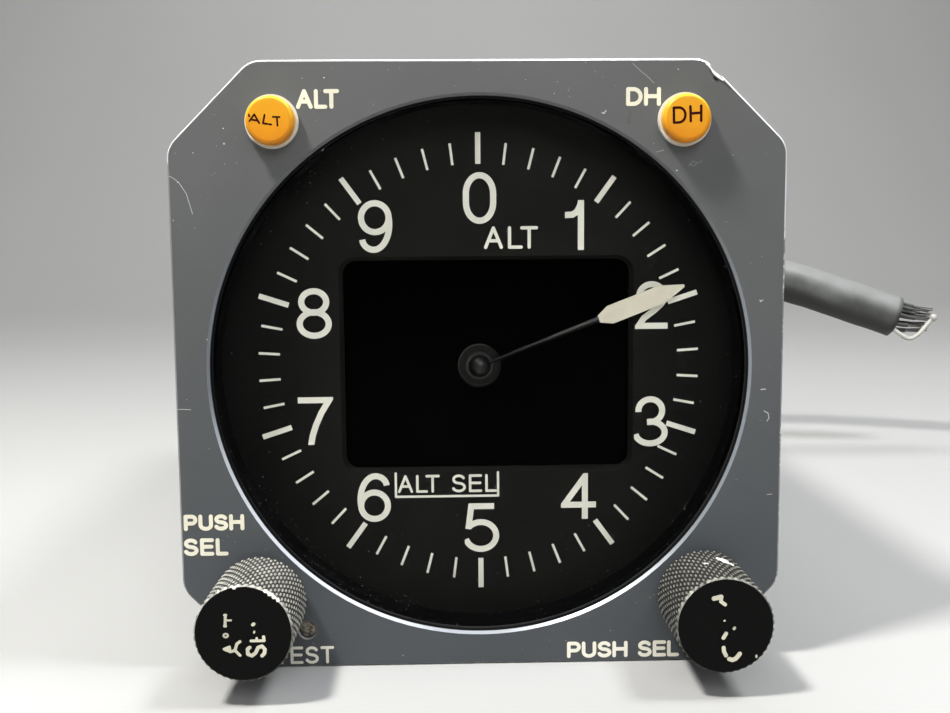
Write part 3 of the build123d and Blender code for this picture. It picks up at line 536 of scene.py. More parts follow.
def stroke_points(stroke):
    """The points of a stroke's middle line."""
    points = []
    for item in stroke:
        if len(item) == 2:
            places = [Vector(item)]
        else:
            cx, cz, rx, rz, start, end = item
            count = max(4, round(abs(end - start) / 10))
            angles = [math.radians(start + (end - start) * i / count) for i in range(count + 1)]
            places = [Vector((cx + rx * math.cos(a), cz + rz * math.sin(a))) for a in angles]
        for place in places:
            if not points or (place - points[-1]).length > 1e-4:
                points.append(place)
    return points


def is_closed(points):
    """Whether a line ends where it starts."""
    return len(points) > 3 and (points[0] - points[-1]).length < 1e-4


def turn_at(points, i):
    """How far a line turns at one of its inner points."""
    return abs((points[i] - points[i - 1]).angle_signed(points[i + 1] - points[i]))


def band_quads(points, half):
    """Quads with mitred joints that cover a line of half width half along points."""
    left, right = [], []
    last = len(points) - 1
    loop = is_closed(points)
    for i, point in enumerate(points):
        near = point - points[i - 1] if i > 0 else (point - points[-2] if loop else points[1] - point)
        far = points[i + 1] - point if i < last else (points[1] - point if loop else point - points[-2])
        near, far = near.normalized(), far.normalized()
        along = (near + far).normalized()
        side = Vector((-along.y, along.x))
        reach = half / max(MITRE_LIMIT, side.dot(Vector((-near.y, near.x))))
        left.append(point + side * reach)
        right.append(point - side * reach)
    return [[right[i], right[i + 1], left[i + 1], left[i]] for i in range(last)]


def round_spot(center, radius, corners=16):
    """The outline of a round spot."""
    angles = [2 * math.pi * i / corners for i in range(corners)]
    return [center + Vector((math.cos(a), math.sin(a))) * radius for a in angles]


def stroke_shapes(points, half, round_ends):
    """Convex shapes that together cover a stroke. Rounded strokes part at their sharp corners."""
    if not round_ends:
        return band_quads(points, half)
    corners = [i for i in range(1, len(points) - 1) if turn_at(points, i) > SHARP_TURN]
    shapes = []
    if not corners and is_closed(points):
        return band_quads(points, half)
    marks = [0] + corners + [len(points) - 1]
    for start, end in zip(marks, marks[1:]):
        shapes += band_quads(points[start:end + 1], half)
    return shapes + [round_spot(points[i], half) for i in marks]


def clipped(shape, axis, limit, sign):
    """The part of a convex shape that lies inside a limit along one axis."""
    kept = []
    for i, point in enumerate(shape):
        before = shape[i - 1]
        inside = sign * (point[axis] - limit) <= 0
        if inside != (sign * (before[axis] - limit) <= 0):
            kept.append(before.lerp(point, (limit - before[axis]) / (point[axis] - before[axis])))
        if inside:
            kept.append(point)
    return kept


def reaching_ends(points, line, half):
    """The points with each end that lies on its box's edge drawn out to that edge."""
    grown = list(points)
    for index, inner in ((0, 1), (-1, -2)):
        outwards = points[index] - points[inner]
        axis = 0 if abs(outwards.x) > abs(outwards.y) else 1
        place = line[index][axis]
        if min(abs(place), abs(place - 1)) < 1e-3:
            grown[index] = points[index] + outwards.normalized() * 2 * half
    return grown


def glyph_shapes(sign, left, bottom, width, height, stroke, round_ends):
    """Shapes that cover a sign that fills the given box, in the units of the box."""
    shapes = []
    half = stroke / 2
    for stroke_line in GLYPHS[sign]:
        line = stroke_points(stroke_line)
        points = [
            Vector((left + half + p.x * (width - stroke), bottom + half + p.y * (height - stroke))) for p in line
        ]
        if not round_ends:
            points = reaching_ends(points, line, half)
        for shape in stroke_shapes(points, half, round_ends):
            for axis, low, high in ((0, left, left + width), (1, bottom, bottom + height)):
                shape = clipped(shape, axis, high, 1)
                shape = clipped(shape, axis, low, -1)
            if len(shape) > 2:
                shapes.append(shape)
    return shapes


def word_shapes(text, left, right, bottom, top, stroke, gap):
    """Shapes that cover a word in rounded letters that fills the given box, letter by letter."""
    cells, cursor = [], 0.0
    for i, letter in enumerate(text):
        if letter == " ":
            cursor += WORD_SPACE
            continue
        if text[max(0, i - 1):i + 1] == "LT":
            cursor -= T_OVER_L + gap / 2
        cells.append((letter, cursor))
        cursor += LETTER_WIDTHS[letter] + gap
    total = cells[-1][1] + LETTER_WIDTHS[cells[-1][0]]
    scale = (right - left) / total
    groups = []
    for letter, start in cells:
        width = LETTER_WIDTHS[letter] * scale
        groups.append(glyph_shapes(letter, left + start * scale, bottom, width, top - bottom, stroke, True))
    return groups


def blob(x, z, radius, rng, corners=9):
    """The outline of a small uneven spot."""
    points = []
    for i in range(corners):
        angle = 2 * math.pi * i / corners
        reach = radius * rng.uniform(0.65, 1.2)
        points.append(Vector((x + reach * math.cos(angle), z + reach * math.sin(angle))))
    return points


def print_mesh(name, groups, y, thickness, center=(0.0, 0.0)):
    """A mesh of flat printed shapes that stand off the face at y. Each group's shapes are joined."""
    made = bmesh.new()
    for shapes in groups:
        points, faces = [], []
        for shape in shapes:
            faces.append(list(range(len(points), len(points) + len(shape))))
            points += shape
        result = geometry.delaunay_2d_cdt(points, [], faces, 0, 1e-5)
        corners, triangles, sources = result[0], result[2], result[5]
        front = [
            made.verts.new(((p.x + center[0]) * MM, y - thickness * MM, (p.y + center[1]) * MM)) for p in corners
        ]
        kept = []
        for triangle, source in zip(triangles, sources):
            if source:
                kept.append(made.faces.new([front[i] for i in triangle]))
        grown = bmesh.ops.extrude_face_region(made, geom=kept)
        back = [v for v in grown["geom"] if isinstance(v, bmesh.types.BMVert)]
        bmesh.ops.translate(made, verts=back, vec=(0, thickness * MM, 0))
    loose = [v for v in made.verts if not v.link_faces]
    bmesh.ops.delete(made, geom=loose, context="VERTS")
    bmesh.ops.recalc_face_normals(made, faces=made.faces)
    return mesh_of(made, name)


def line_shapes(line, width):
    """Shapes that together cover a line with round ends."""
    return stroke_shapes(stroke_points(line), width / 2, True)


def print_piece(name, groups, y, thickness, finish, body="instrument", center=(0.0, 0.0)):
    """A printed piece of the scene."""
    return add_piece(name, print_mesh(name, groups, y, thickness, center), finish, body)


def ring_of(verts, count, radius, y, x, z):
    """New vertices on a circle about an axis along Y, from its top."""
    return [
        verts.new((x + radius * math.sin(2 * math.pi * i / count), y, z + radius * math.cos(2 * math.pi * i / count)))
        for i in range(count)
    ]


class BezelFinish(bpy.types.PropertyGroup):
    """Paint and print of the bezel."""

    paint: FloatVectorProperty(
        name="Paint", description="Colour of the bezel's satin paint", subtype="COLOR",
        default=(0.080, 0.0815, 0.081), min=0, max=1,
    )
    # Painted shade: the bezel's paint is made darker towards its foot, where less light falls
    paint_low_shaded: FloatVectorProperty(
        name="Lower paint", description="Colour of the paint at the bezel's foot", subtype="COLOR",
        default=(0.054, 0.0595, 0.065), min=0, max=1,
    )
    bare: FloatVectorProperty(
        name="Bare metal", description="Colour of the metal where the paint is worn off", subtype="COLOR",
        default=(0.78, 0.80, 0.83), min=0, max=1,
    )
    # Painted highlight on the window's bevel
    bevel_highlight: FloatVectorProperty(
        name="Shining bevel", description="Colour of the window bevel where it is rubbed", subtype="COLOR",
        default=(0.43, 0.45, 0.48), min=0, max=1,
    )
    legend: FloatVectorProperty(
        name="Legends", description="Colour of the bezel's printed words", subtype="COLOR",
        default=(0.62, 0.59, 0.46), min=0, max=1,
    )
    # Painted light: the words at the foot are made lighter than the others to stand in for light falling on them
    legend_low_lit: FloatVectorProperty(
        name="Lower legends", description="Colour of the less yellowed words at the bezel's foot", subtype="COLOR",
        default=(0.72, 0.70, 0.59), min=0, max=1,
    )
    legend_thickness: FloatProperty(
        name="Legend thickness", description="Height of the printed words above the face",
        default=0.03 * MM, unit="LENGTH",
    )


class DialFinish(bpy.types.PropertyGroup):
    """Dial, its print, the display and the pointer."""

    black: FloatVectorProperty(
        name="Dial black", description="Colour of the dial's matt paint", subtype="COLOR",
        default=(0.0075, 0.0075, 0.0062), min=0, max=1,
    )
    white: FloatVectorProperty(
        name="Dial white", description="Colour of the numerals and marks", subtype="COLOR",
        default=(0.82, 0.81, 0.71), min=0, max=1,
    )
    lance: FloatVectorProperty(
        name="Lance", description="Colour of the pointer's painted tip", subtype="COLOR",
        default=(0.70, 0.66, 0.53), min=0, max=1,
    )
    numeral_stroke: FloatProperty(
        name="Numeral stroke", description="Width of the numerals' lines", default=0.86 * MM, unit="LENGTH",
    )
    print_thickness: FloatProperty(
        name="Print thickness", description="Height of the print above the dial", default=0.05 * MM, unit="LENGTH",
    )
    dust_count: IntProperty(
        name="Dust", description="Number of dust specks behind and on the glass", default=90, min=0,
    )


class LampFinish(bpy.types.PropertyGroup):
    """Lamp caps and their engraving."""

    amber: FloatVectorProperty(
        name="Amber", description="Colour of the caps' middle", subtype="COLOR",
        default=(0.58, 0.258, 0.010), min=0, max=1,
    )
    # Painted highlight of the caps' upper rim
    amber_rim_highlight: FloatVectorProperty(
        name="Light amber", description="Colour of the caps' upper rim", subtype="COLOR",
        default=(0.56, 0.35, 0.014), min=0, max=1,
    )
    # Painted shade of the caps' lower part
    amber_low_shade: FloatVectorProperty(
        name="Deep amber", description="Colour of the caps' lower part", subtype="COLOR",
        default=(0.52, 0.19, 0.007), min=0, max=1,
    )
    letter: FloatVectorProperty(
        name="Letters", description="Colour of the filled engraving", subtype="COLOR",
        default=(0.030, 0.004, 0.003), min=0, max=1,
    )


class KnobSizes(bpy.types.PropertyGroup):
    """Knurl and wear of the two knobs."""

    grooves: IntProperty(name="Grooves", description="Knurl grooves round the knob, each way", default=43, min=12)
    knurl_depth: FloatProperty(
        name="Knurl depth", description="Height of the knurl's points", default=0.15 * MM, unit="LENGTH",
    )
    edge: FloatProperty(name="Edge", description="Width of the worn front edge", default=0.3 * MM, unit="LENGTH")
    helix: FloatProperty(
        name="Helix", description="Length of a knurl point over its width", default=1.75, min=0.5,
    )
    set_back: FloatProperty(
        name="Set back", description="How far the painted face lies behind the knob's foremost plane",
        default=0.015 * MM, unit="LENGTH",
    )
    pocket_radius: FloatProperty(
        name="Pocket radius", description="Radius of the pocket in the knob's back", default=4.6 * MM, unit="LENGTH",
    )
    pocket_depth: FloatProperty(
        name="Pocket depth", description="Depth of the pocket in the knob's back", default=3.2 * MM, unit="LENGTH",
    )
    bore_depth: FloatProperty(
        name="Bore depth", description="Depth of the bore for the shaft", default=9.6 * MM, unit="LENGTH",
    )
    black: FloatVectorProperty(
        name="Knob black", description="Colour of the knobs' black coat", subtype="COLOR",
        default=(0.0026, 0.0026, 0.0025), min=0, max=1,
    )
    worn: FloatVectorProperty(
        name="Worn knurl", description="Colour of the worn points of the knurl", subtype="COLOR",
        default=(0.42, 0.415, 0.37), min=0, max=1,
    )


class HarnessSizes(bpy.types.PropertyGroup):
    """Sleeve and wires of the cut harness."""

    radius: FloatProperty(name="Radius", description="Radius of the sleeve", default=6.0 * MM, unit="LENGTH")
    wall: FloatProperty(name="Wall", description="Wall of the sleeve at its cut end", default=0.7 * MM, unit="LENGTH")
    wire_radius: FloatProperty(
        name="Wire radius", description="Radius of a wire with its insulation", default=0.7 * MM, unit="LENGTH",
    )
    sleeve: FloatVectorProperty(
        name="Sleeve", description="Colour of the shrunk sleeve", subtype="COLOR",
        default=(0.024, 0.025, 0.024), min=0, max=1,
    )
    # Partly dust, partly painted light: the colour of the sleeve's lighter upper side
    sleeve_top_lit_dust: FloatVectorProperty(
        name="Sleeve top", description="Colour of the sleeve's dusty upper side", subtype="COLOR",
        default=(0.15, 0.155, 0.15), min=0, max=1,
    )


class StageSettings(bpy.types.PropertyGroup):
    """Floor, backdrop and lights."""

    floor: FloatVectorProperty(
        name="Floor", description="Colour of the floor and backdrop", subtype="COLOR",
        default=(0.30, 0.30, 0.295), min=0, max=1,
    )
    key_power: FloatProperty(name="Key light", description="Power of the key light in watts", default=4.4, min=0)
    side_power: FloatProperty(name="Side light", description="Power of the side light in watts", default=3.6, min=0)
    fill_power: FloatProperty(name="Fill light", description="Power of the fill light in watts", default=4.6, min=0)
    backdrop_power: FloatProperty(
        name="Backdrop light", description="Power of the backdrop's light in watts", default=26.0, min=0,
    )
    world_strength: FloatProperty(name="World", description="Strength of the even light", default=0.26, min=0)
    distant_glow: FloatProperty(
        name="Distant glow", description="How much paler the far floor and the backdrop look", default=0.30, min=0,
    )
    backdrop_level: FloatProperty(
        name="Backdrop level", description="Brightness seen beyond the floor's edge", default=0.38, min=0,
    )


class INDICATOR_OT_bezel(bpy.types.Operator):
    """Paints the bezel with painted shade and highlights, and wears its edges to bare metal"""

    bl_idname = "indicator.bezel"
    bl_label = "Bezel finish"

    def execute(self, context):
        facts = context.scene.indicator_bezel
        paint = self.paint(facts)
        edge = self.edge_wear_and_highlight(facts)
        bevel = self.bevel_paint_and_highlight(facts)
        dress(paint, "bezel")
        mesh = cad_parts["bezel"].data
        mesh.materials.append(edge.material)
        mesh.materials.append(bevel.material)
        for face in mesh.polygons:
            center, normal = face.center, face.normal
            near_front = center.y < FACE_Y + EDGE_BREAK
            leans = -0.95 < normal.y < -0.2
            radius = math.hypot(center.x, center.z)
            if (center - NICK).length < NICK_REACH and normal.y > -0.95:
                face.material_index = 1
            elif near_front and leans and radius > BEVEL_RADIUS:
                face.material_index = 1
            elif leans and radius <= BEVEL_RADIUS and center.y < FACE_Y + BEVEL_DEPTH:
                face.material_index = 2
        return {"FINISHED"}

    def paint(self, facts):
        """Satin paint with painted shade that darkens it towards the foot, with specks and grime, and black inside
        the window.
        """
        finish = Finish("bezel_satin_paint", facts.paint, roughness=0.44, specular=0.3)
        x, y, z = finish.axes()
        radius = finish.radius_about(x, z)
        specks = finish.band(finish.noise(2100.0, 1.0), 0.79, 0.81)
        # Painted shade: the paint darkens from the top down to the foot
        fade = finish.band(z, -BEZEL_HALF, BEZEL_HALF)
        upper = finish.mottle(facts.paint, 40.0, 0.06, 5.0)
        lower = finish.mottle(facts.paint_low_shaded, 40.0, 0.06, 5.0)
        paint = finish.mix(fade, lower, upper)
        grime = finish.band(finish.noise(170.0, 5.0, 0.65), 0.58, 0.75)
        paint = finish.mix(finish.times(grime, 0.14), paint, GRIME)
        paint = finish.mix(finish.times(specks, 0.5), paint, PAINT_SPECK)
        inner = finish.band(radius, OPENING_RADIUS + 0.05 * MM, OPENING_RADIUS + 0.01 * MM)
        behind = finish.band(y, 0.02 * MM, 0.1 * MM)
        finish.set("Base Color", finish.mix(finish.most(inner, behind), paint, WINDOW_WALL))
        finish.set("Roughness", finish.fit(finish.noise(120.0, 4.0), 0.3, 0.7, 0.40, 0.49))
        height = finish.plus(finish.times(finish.noise(1500.0, 4.0), 0.6), specks)
        finish.bump(height, 0.025 * MM, 0.5)
        return finish

    def edge_wear_and_highlight(self, facts):
        """Bare metal along the edges, spread over the top and the right, with paint kept on the left and lower down:
        partly wear, partly painted highlight and shade for where light falls.

        On the left half only the outer part of the edge is bare, which keeps the highlight thin. The paint left on
        the edges is lighter than the face's, a painted sheen.
        """
        finish = Finish("bezel_worn_edge", facts.bare, roughness=0.34)
        x, y, z = finish.axes()
        left_side_shade = finish.band(x, -BEZEL_HALF + 1.0 * MM, -BEZEL_HALF + 0.4 * MM)
        left_side_shade = finish.times(left_side_shade, finish.band(z, 29 * MM, 27 * MM))
        # Painted highlight and shade: more paint is kept lower down and on the left, more bare metal at the top
        paint_kept_and_shade = finish.plus(finish.noise(500.0, 5.0, 0.7), finish.fit(z, 8 * MM, 27 * MM, 0.14, -0.24))
        paint_kept_and_shade = finish.plus(paint_kept_and_shade, finish.times(left_side_shade, 0.5))
        # Painted highlight kept thin: on the left half the inner part of the edge keeps its paint
        inner = finish.band(y, FACE_Y + 0.15 * MM, FACE_Y + 0.11 * MM)
        inner = finish.times(inner, finish.band(x, 6 * MM, -16 * MM))
        painted = finish.most(finish.band(paint_kept_and_shade, 0.42, 0.58), inner)
        metal = finish.mottle(facts.bare, 600.0, 0.06)
        # Painted sheen: the paint kept on the edge is lighter than the face's paint
        finish.set("Base Color", finish.mix(painted, metal, [c * 1.9 for c in facts.paint]))
        finish.set("Metallic", finish.fit(painted, 0, 1, 0.35, 0.0))
        finish.set("Roughness", finish.fit(painted, 0, 1, 0.32, 0.42))
        finish.bump(finish.noise(1300.0, 4.0), 0.03 * MM)
        return finish

    def bevel_paint_and_highlight(self, facts):
        """Paint with a painted highlight along its lower half, whitest at the lower left, a grey that is lighter away
        from the top as painted light, and a dark inner edge.
        """
        finish = Finish("bezel_bevel_paint", facts.paint, roughness=0.30, specular=0.5)
        x, _, z = finish.axes()
        # Painted highlight: a bright band along the lower half of the bevel, dimmer at the very foot and whitest at
        # the left
        uneven = finish.times(finish.around_zero(finish.noise(130.0, 4.0)), 5 * MM)
        slanted = finish.plus(z, finish.times(x, 0.3))
        bevel_highlight = finish.band(finish.plus(slanted, uneven), -12 * MM, -30 * MM)
        foot = finish.band(finish.math("ABSOLUTE", finish.plus(x, 1.0 * MM)), 14 * MM, 3 * MM)
        bevel_highlight = finish.times(bevel_highlight, finish.fit(foot, 0, 1, 1.0, 0.32))
        # Painted light: the bevel's grey is lighter away from the top
        grey = finish.mix(finish.band(z, 30 * MM, 5 * MM), facts.paint, [c * 2.6 for c in facts.paint_low_shaded])
        highlighted = finish.mix(finish.band(x, 8 * MM, -10 * MM), facts.bevel_highlight, [c * 1.3 for c in facts.bevel_highlight])
        color = finish.mix(bevel_highlight, grey, highlighted)
        inner = finish.band(finish.radius_about(x, z), BEVEL_RADIUS - 0.34 * MM, BEVEL_RADIUS - 0.42 * MM)
        finish.set("Base Color", finish.mix(inner, color, BEVEL_INNER_EDGE))
        finish.set("Metallic", finish.times(bevel_highlight, 0.35))
        finish.set("Roughness", finish.most(inner, finish.fit(bevel_highlight, 0, 1, 0.36, 0.30)))
        finish.set("Specular IOR Level", finish.fit(inner, 0, 1, 0.5, 0.02))
        finish.bump(finish.noise(1500.0, 3.0), 0.012 * MM)
        return finish


class INDICATOR_OT_bezel_print(bpy.types.Operator):
    """Prints the words on the bezel's face"""

    bl_idname = "indicator.bezel_print"
    bl_label = "Bezel legends"

    def execute(self, context):
        facts = context.scene.indicator_bezel
        finish = grained("legend_cream", facts.legend, 0.55, grain=3000.0, amount=0.08)
        # Painted light: the words grow lighter towards the bezel's foot
        low = finish.band(finish.axes()[2], -15 * MM, -38 * MM)
        finish.set("Base Color", finish.mix(low, finish.mottle(facts.legend, 250.0, 0.08), facts.legend_low_lit))
        for text, left, right, bottom, top, stroke, gap in BEZEL_WORDS:
            groups = word_shapes(text, left, right, bottom, top, stroke, gap)
            name = "legend_" + text.lower().replace(" ", "_") + ("_right" if left > 0 else "_left")
            print_piece(name, groups, FACE_Y, facts.legend_thickness / MM, finish)
        return {"FINISHED"}


class INDICATOR_OT_dial(bpy.types.Operator):
    """Finishes the dial, its marks, the display, the ring round it and the boss"""

    bl_idname = "indicator.dial"
    bl_label = "Dial and display"

    def execute(self, context):
        facts = context.scene.indicator_dial
        dial = Finish("dial_matt_black", facts.black, roughness=0.62, specular=0.1)
        # Painted shade: the dial is darker towards its left and right sides, where the window's wall shades it
        across = dial.band(dial.math("ABSOLUTE", dial.axes()[0]), 16 * MM, 32 * MM)
        middle = dial.mottle(facts.black, 90.0, 0.14, detail=5.0)
        dial.set("Base Color", dial.mix(across, middle, [c * 0.4 for c in facts.black]))
        dial.bump(dial.noise(3500.0, 3.0), 0.012 * MM)
        dress(dial, "dial_plate")
        marks = grained("dial_off_white", facts.white, 0.6, grain=3500.0, height=0.006 * MM, amount=0.05)
        dress(marks, "dial_marks")
        ring = Finish("ring_dusty_black", RING_BLACK, roughness=0.6, specular=0.12)
        dust = ring.band(ring.noise(1500.0, 2.0), 0.66, 0.74)
        ring.set("Base Color", ring.mix(ring.times(dust, 0.5), RING_BLACK, RING_DUST))
        ring.bump(ring.noise(2500.0), 0.02 * MM)
        dress(ring, "wall_ring")
        dress(grained("seal_rubber_black", (0.012, 0.012, 0.012), 0.75), "glass_seal")
        display = Finish("display_polished_black", (0.0003, 0.0004, 0.0003), roughness=0.12, specular=0.006)
        haze = display.noise(60.0, 4.0)
        display.set("Roughness", display.fit(haze, 0.3, 0.7, 0.10, 0.16))
        display.set("Base Color", display.mix(haze, (0.0003, 0.0003, 0.0003), (0.0007, 0.0007, 0.0006)))
        dress(display, "display_glass")
        dress(grained("backlight_frosted", (0.74, 0.74, 0.71), 0.5), "backlight_panel")
        boss = Finish("boss_dark_grey", (0.0045, 0.0045, 0.0038), roughness=0.45, specular=0.15)
        x, _, z = boss.axes()
        reach = boss.radius_about(x, z)
        turned = boss.mix(boss.noise(250.0, 3.0), BOSS_DARK, BOSS_LIGHT)
        # Painted shade: the ring about the shaft, round the hub's dome, is made near black
        turned = boss.mix(boss.band(reach, 1.95 * MM, 1.85 * MM), turned, BOSS_BORE_SHADE)
        # Painted highlight: a pale ring on the boss's lip, on its upper left side only
        lit = boss.band(boss.minus(z, x), 0.5 * MM, 3.0 * MM)
        lip = boss.times(boss.band(reach, 2.85 * MM, 2.95 * MM), lit)
        boss.set("Base Color", boss.mix(lip, turned, BOSS_LIP_HIGHLIGHT))
        boss.bump(boss.noise(900.0, 3.0), 0.01 * MM)
        dress(boss, "shaft_boss")
        hub = Finish("hub_gloss_black", (0.004, 0.004, 0.0036), roughness=0.30, specular=0.4)
        hub.set("Roughness", hub.fit(hub.noise(700.0), 0.3, 0.7, 0.26, 0.38))
        dress(hub, "pointer_hub")
        return {"FINISHED"}


class INDICATOR_OT_dial_print(bpy.types.Operator):
    """Prints the numerals, words and box on the dial"""

    bl_idname = "indicator.dial_print"
    bl_label = "Dial print"

    def execute(self, context):
        facts = context.scene.indicator_dial
        thickness = facts.print_thickness / MM
        finish = grained("numeral_off_white", facts.white, 0.6, grain=3500.0, height=0.006 * MM, amount=0.05)
        stroke = facts.numeral_stroke / MM
        for sign, x, z, width, height in NUMERALS:
            shapes = glyph_shapes(sign, x - width / 2, z - height / 2, width, height, stroke, False)
            print_piece("numeral_" + sign, [shapes], DIAL_Y, thickness, finish)
        for text, left, right, bottom, top, line, gap in DIAL_WORDS:
            name = "dial_word_" + text.lower().replace(" ", "_")
            print_piece(name, word_shapes(text, left, right, bottom, top, line, gap), DIAL_Y, thickness, finish)
        print_piece("dial_word_box", [line_shapes(DIAL_BOX, DIAL_BOX_LINE)], DIAL_Y, thickness, finish)
        return {"FINISHED"}


class INDICATOR_OT_pointer(bpy.types.Operator):
    """Paints the pointer's blade black and its lance off-white"""

    bl_idname = "indicator.pointer"
    bl_label = "Pointer"

    def execute(self, context):
        facts = context.scene.indicator_dial
        finish = Finish("pointer_paint", facts.lance, roughness=0.5, specular=0.4)
        x, _, z = finish.axes()
        painted = finish.band(finish.radius_about(x, z), LANCE_START - 0.05 * MM, LANCE_START + 0.05 * MM)
        cream = finish.mottle(facts.lance, 300.0, 0.05)
        finish.set("Base Color", finish.mix(painted, BLADE_BLACK, cream))
        finish.set("Roughness", finish.fit(painted, 0, 1, 0.32, 0.6))
        finish.bump(finish.noise(2500.0, 3.0), 0.02 * MM)
        dress(finish, "pointer")
        return {"FINISHED"}


class INDICATOR_OT_glass(bpy.types.Operator):
    """Makes the coated cover glass, clear with a faint violet shine"""

    bl_idname = "indicator.glass"
    bl_label = "Cover glass"

    def execute(self, context):
        finish = Finish("coated_glass", (1.0, 1.0, 1.0))
        tree = finish.tree
        tree.nodes.remove(finish.shader)
        clear = tree.nodes.new("ShaderNodeBsdfTransparent")
        clear.inputs["Color"].default_value = (0.985, 0.985, 0.98, 1.0)
        shine = tree.nodes.new("ShaderNodeBsdfGlossy")
        shine.inputs["Color"].default_value = (0.70, 0.62, 1.0, 1.0)
        finish.put(shine.inputs["Roughness"], finish.fit(finish.noise(50.0, 4.0), 0.3, 0.7, 0.02, 0.07))
        weight = finish.node("ShaderNodeFresnel", {"IOR": 1.045})
        mix = tree.nodes.new("ShaderNodeMixShader")
        tree.links.new(weight, mix.inputs[0])
        tree.links.new(clear.outputs[0], mix.inputs[1])
        tree.links.new(shine.outputs[0], mix.inputs[2])
        tree.links.new(mix.outputs[0], tree.nodes["Material Output"].inputs["Surface"])
        dress(finish, "cover_glass")
        return {"FINISHED"}


class INDICATOR_OT_lamps(bpy.types.Operator):
    """Finishes the amber lamp caps, fills their engraving and makes the cream lamp bodies"""

    bl_idname = "indicator.lamps"
    bl_label = "Lamps"

    def execute(self, context):
        facts = context.scene.indicator_lamps
        cap = Finish("lamp_amber_gloss", facts.amber, roughness=0.36, specular=0.15, coat=0.10)
        x, _, z = cap.axes()
        reach = cap.radius_about(cap.math("ABSOLUTE", x), z, LAMP_X, LAMP_Z)
        # Painted light: the caps are deeper amber below and lighter at their upper rim, as if lit from above
        height = cap.fit(cap.minus(z, LAMP_Z), -LAMP_RADIUS, LAMP_RADIUS, 0.0, 1.0)
        cloud = cap.times(cap.around_zero(cap.noise(380.0, 3.0)), 0.35)
        shade = cap.mix(cap.band(cap.plus(height, cloud), 0.05, 0.72), facts.amber_low_shade, facts.amber)
        rim = cap.band(reach, 0.72 * LAMP_RADIUS, 0.98 * LAMP_RADIUS)
        upper = cap.band(height, 0.35, 0.95)
        shade = cap.mix(cap.times(rim, upper), shade, facts.amber_rim_highlight)
        # Painted shade: a dark ring where the cap's face meets its rounded edge
        line = cap.times(
            cap.band(reach, 0.80 * LAMP_RADIUS, 0.84 * LAMP_RADIUS),
            cap.band(reach, 0.89 * LAMP_RADIUS, 0.85 * LAMP_RADIUS),
        )
        shade = cap.mix(cap.times(line, 0.35), shade, CAP_GROOVE_SHADE)
        smudge = cap.band(cap.noise(1100.0, 3.0), 0.68, 0.76)
        cap.set("Base Color", cap.mix(cap.times(smudge, 0.25), shade, CAP_SMUDGE))
        cap.set("Subsurface Weight", 0.10)
        cap.set("Subsurface Scale", 0.8 * MM)
        cap.set("Subsurface Radius", (1.0, 0.45, 0.08))
        cap.bump(cap.noise(900.0, 2.0), 0.012 * MM)
        dress(cap, "lamp_cap_left", "lamp_cap_right")
        body = grained("lamp_cream", (0.56, 0.545, 0.47), 0.38, grain=1200.0, amount=0.06)
        body.set("Subsurface Weight", 0.1)
        body.set("Subsurface Scale", 1.0 * MM)
        dress(body, "lamp_body_left", "lamp_body_right")
        letters = grained("lamp_engraving", facts.letter, 0.7, grain=3000.0, amount=0.2, specular=0.03)
        for side, sign in (("left", -1), ("right", 1)):
            shapes = sum([line_shapes(line, LAMP_STROKES[side]) for line in LAMP_LETTERS[side]], [])
            center = (sign * LAMP_X / MM, LAMP_Z / MM)
            print_piece("lamp_letters_" + side, [shapes], LAMP_Y, ENGRAVING_HEIGHT, letters,
                        center=center)
        return {"FINISHED"}


class INDICATOR_OT_knobs(bpy.types.Operator):
    """Makes the knurled knobs and the paint left on their faces"""

    bl_idname = "indicator.knobs"
    bl_label = "Knurled knobs"

    def execute(self, context):
        facts = context.scene.indicator_knobs
        flecks = grained("fleck_cream", (0.50, 0.475, 0.37), 0.6, grain=2500.0, amount=0.2)
        for side in ("left", "right"):
            low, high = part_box("knob_" + side)
            x, z = box_middle("knob_" + side)
            front = low.y + facts.set_back
            mesh = knurled_knob("knurled_knob_" + side, x, z, (high.x - low.x) / 2, front, high.y, facts)
            mesh = drilled(mesh, Vector((x, low.y + SET_SCREW_PLACE, low.z)), SET_SCREW_RADIUS, SET_SCREW_REACH)
            rows = knurl_rows((high.x - low.x) / 2, front, high.y, facts)
            finish = knob_finish(side, facts, x, z, rows)
            piece = add_piece("knurled_knob_" + side, mesh, finish, side + "_knob")
            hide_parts("knob_" + side)
            shapes = sum([line_shapes(line, width) for line, width in KNOB_FLECKS[side]], [])
            print_piece("knob_flecks_" + side, [shapes], front, FLECK_HEIGHT, flecks,
                        body=side + "_knob", center=(x / MM, z / MM))
        steel = brushed("shaft_steel", (0.56, 0.56, 0.55), 0.3, (1, 40, 1))
        dress(steel, "encoder_shaft_left", "encoder_shaft_right", "set_screw_left", "set_screw_right",
              "push_plunger_left", "push_plunger_right")
        return {"FINISHED"}


def knurl_rows(radius, front, back, facts):
    """The first and last row of a knob's knurl along Y, and the number of steps between them."""
    start, end = front + facts.edge, back - facts.edge
    step = math.pi * radius / facts.grooves * facts.helix
    return start, end, 2 * round((end - start) / step / 2)


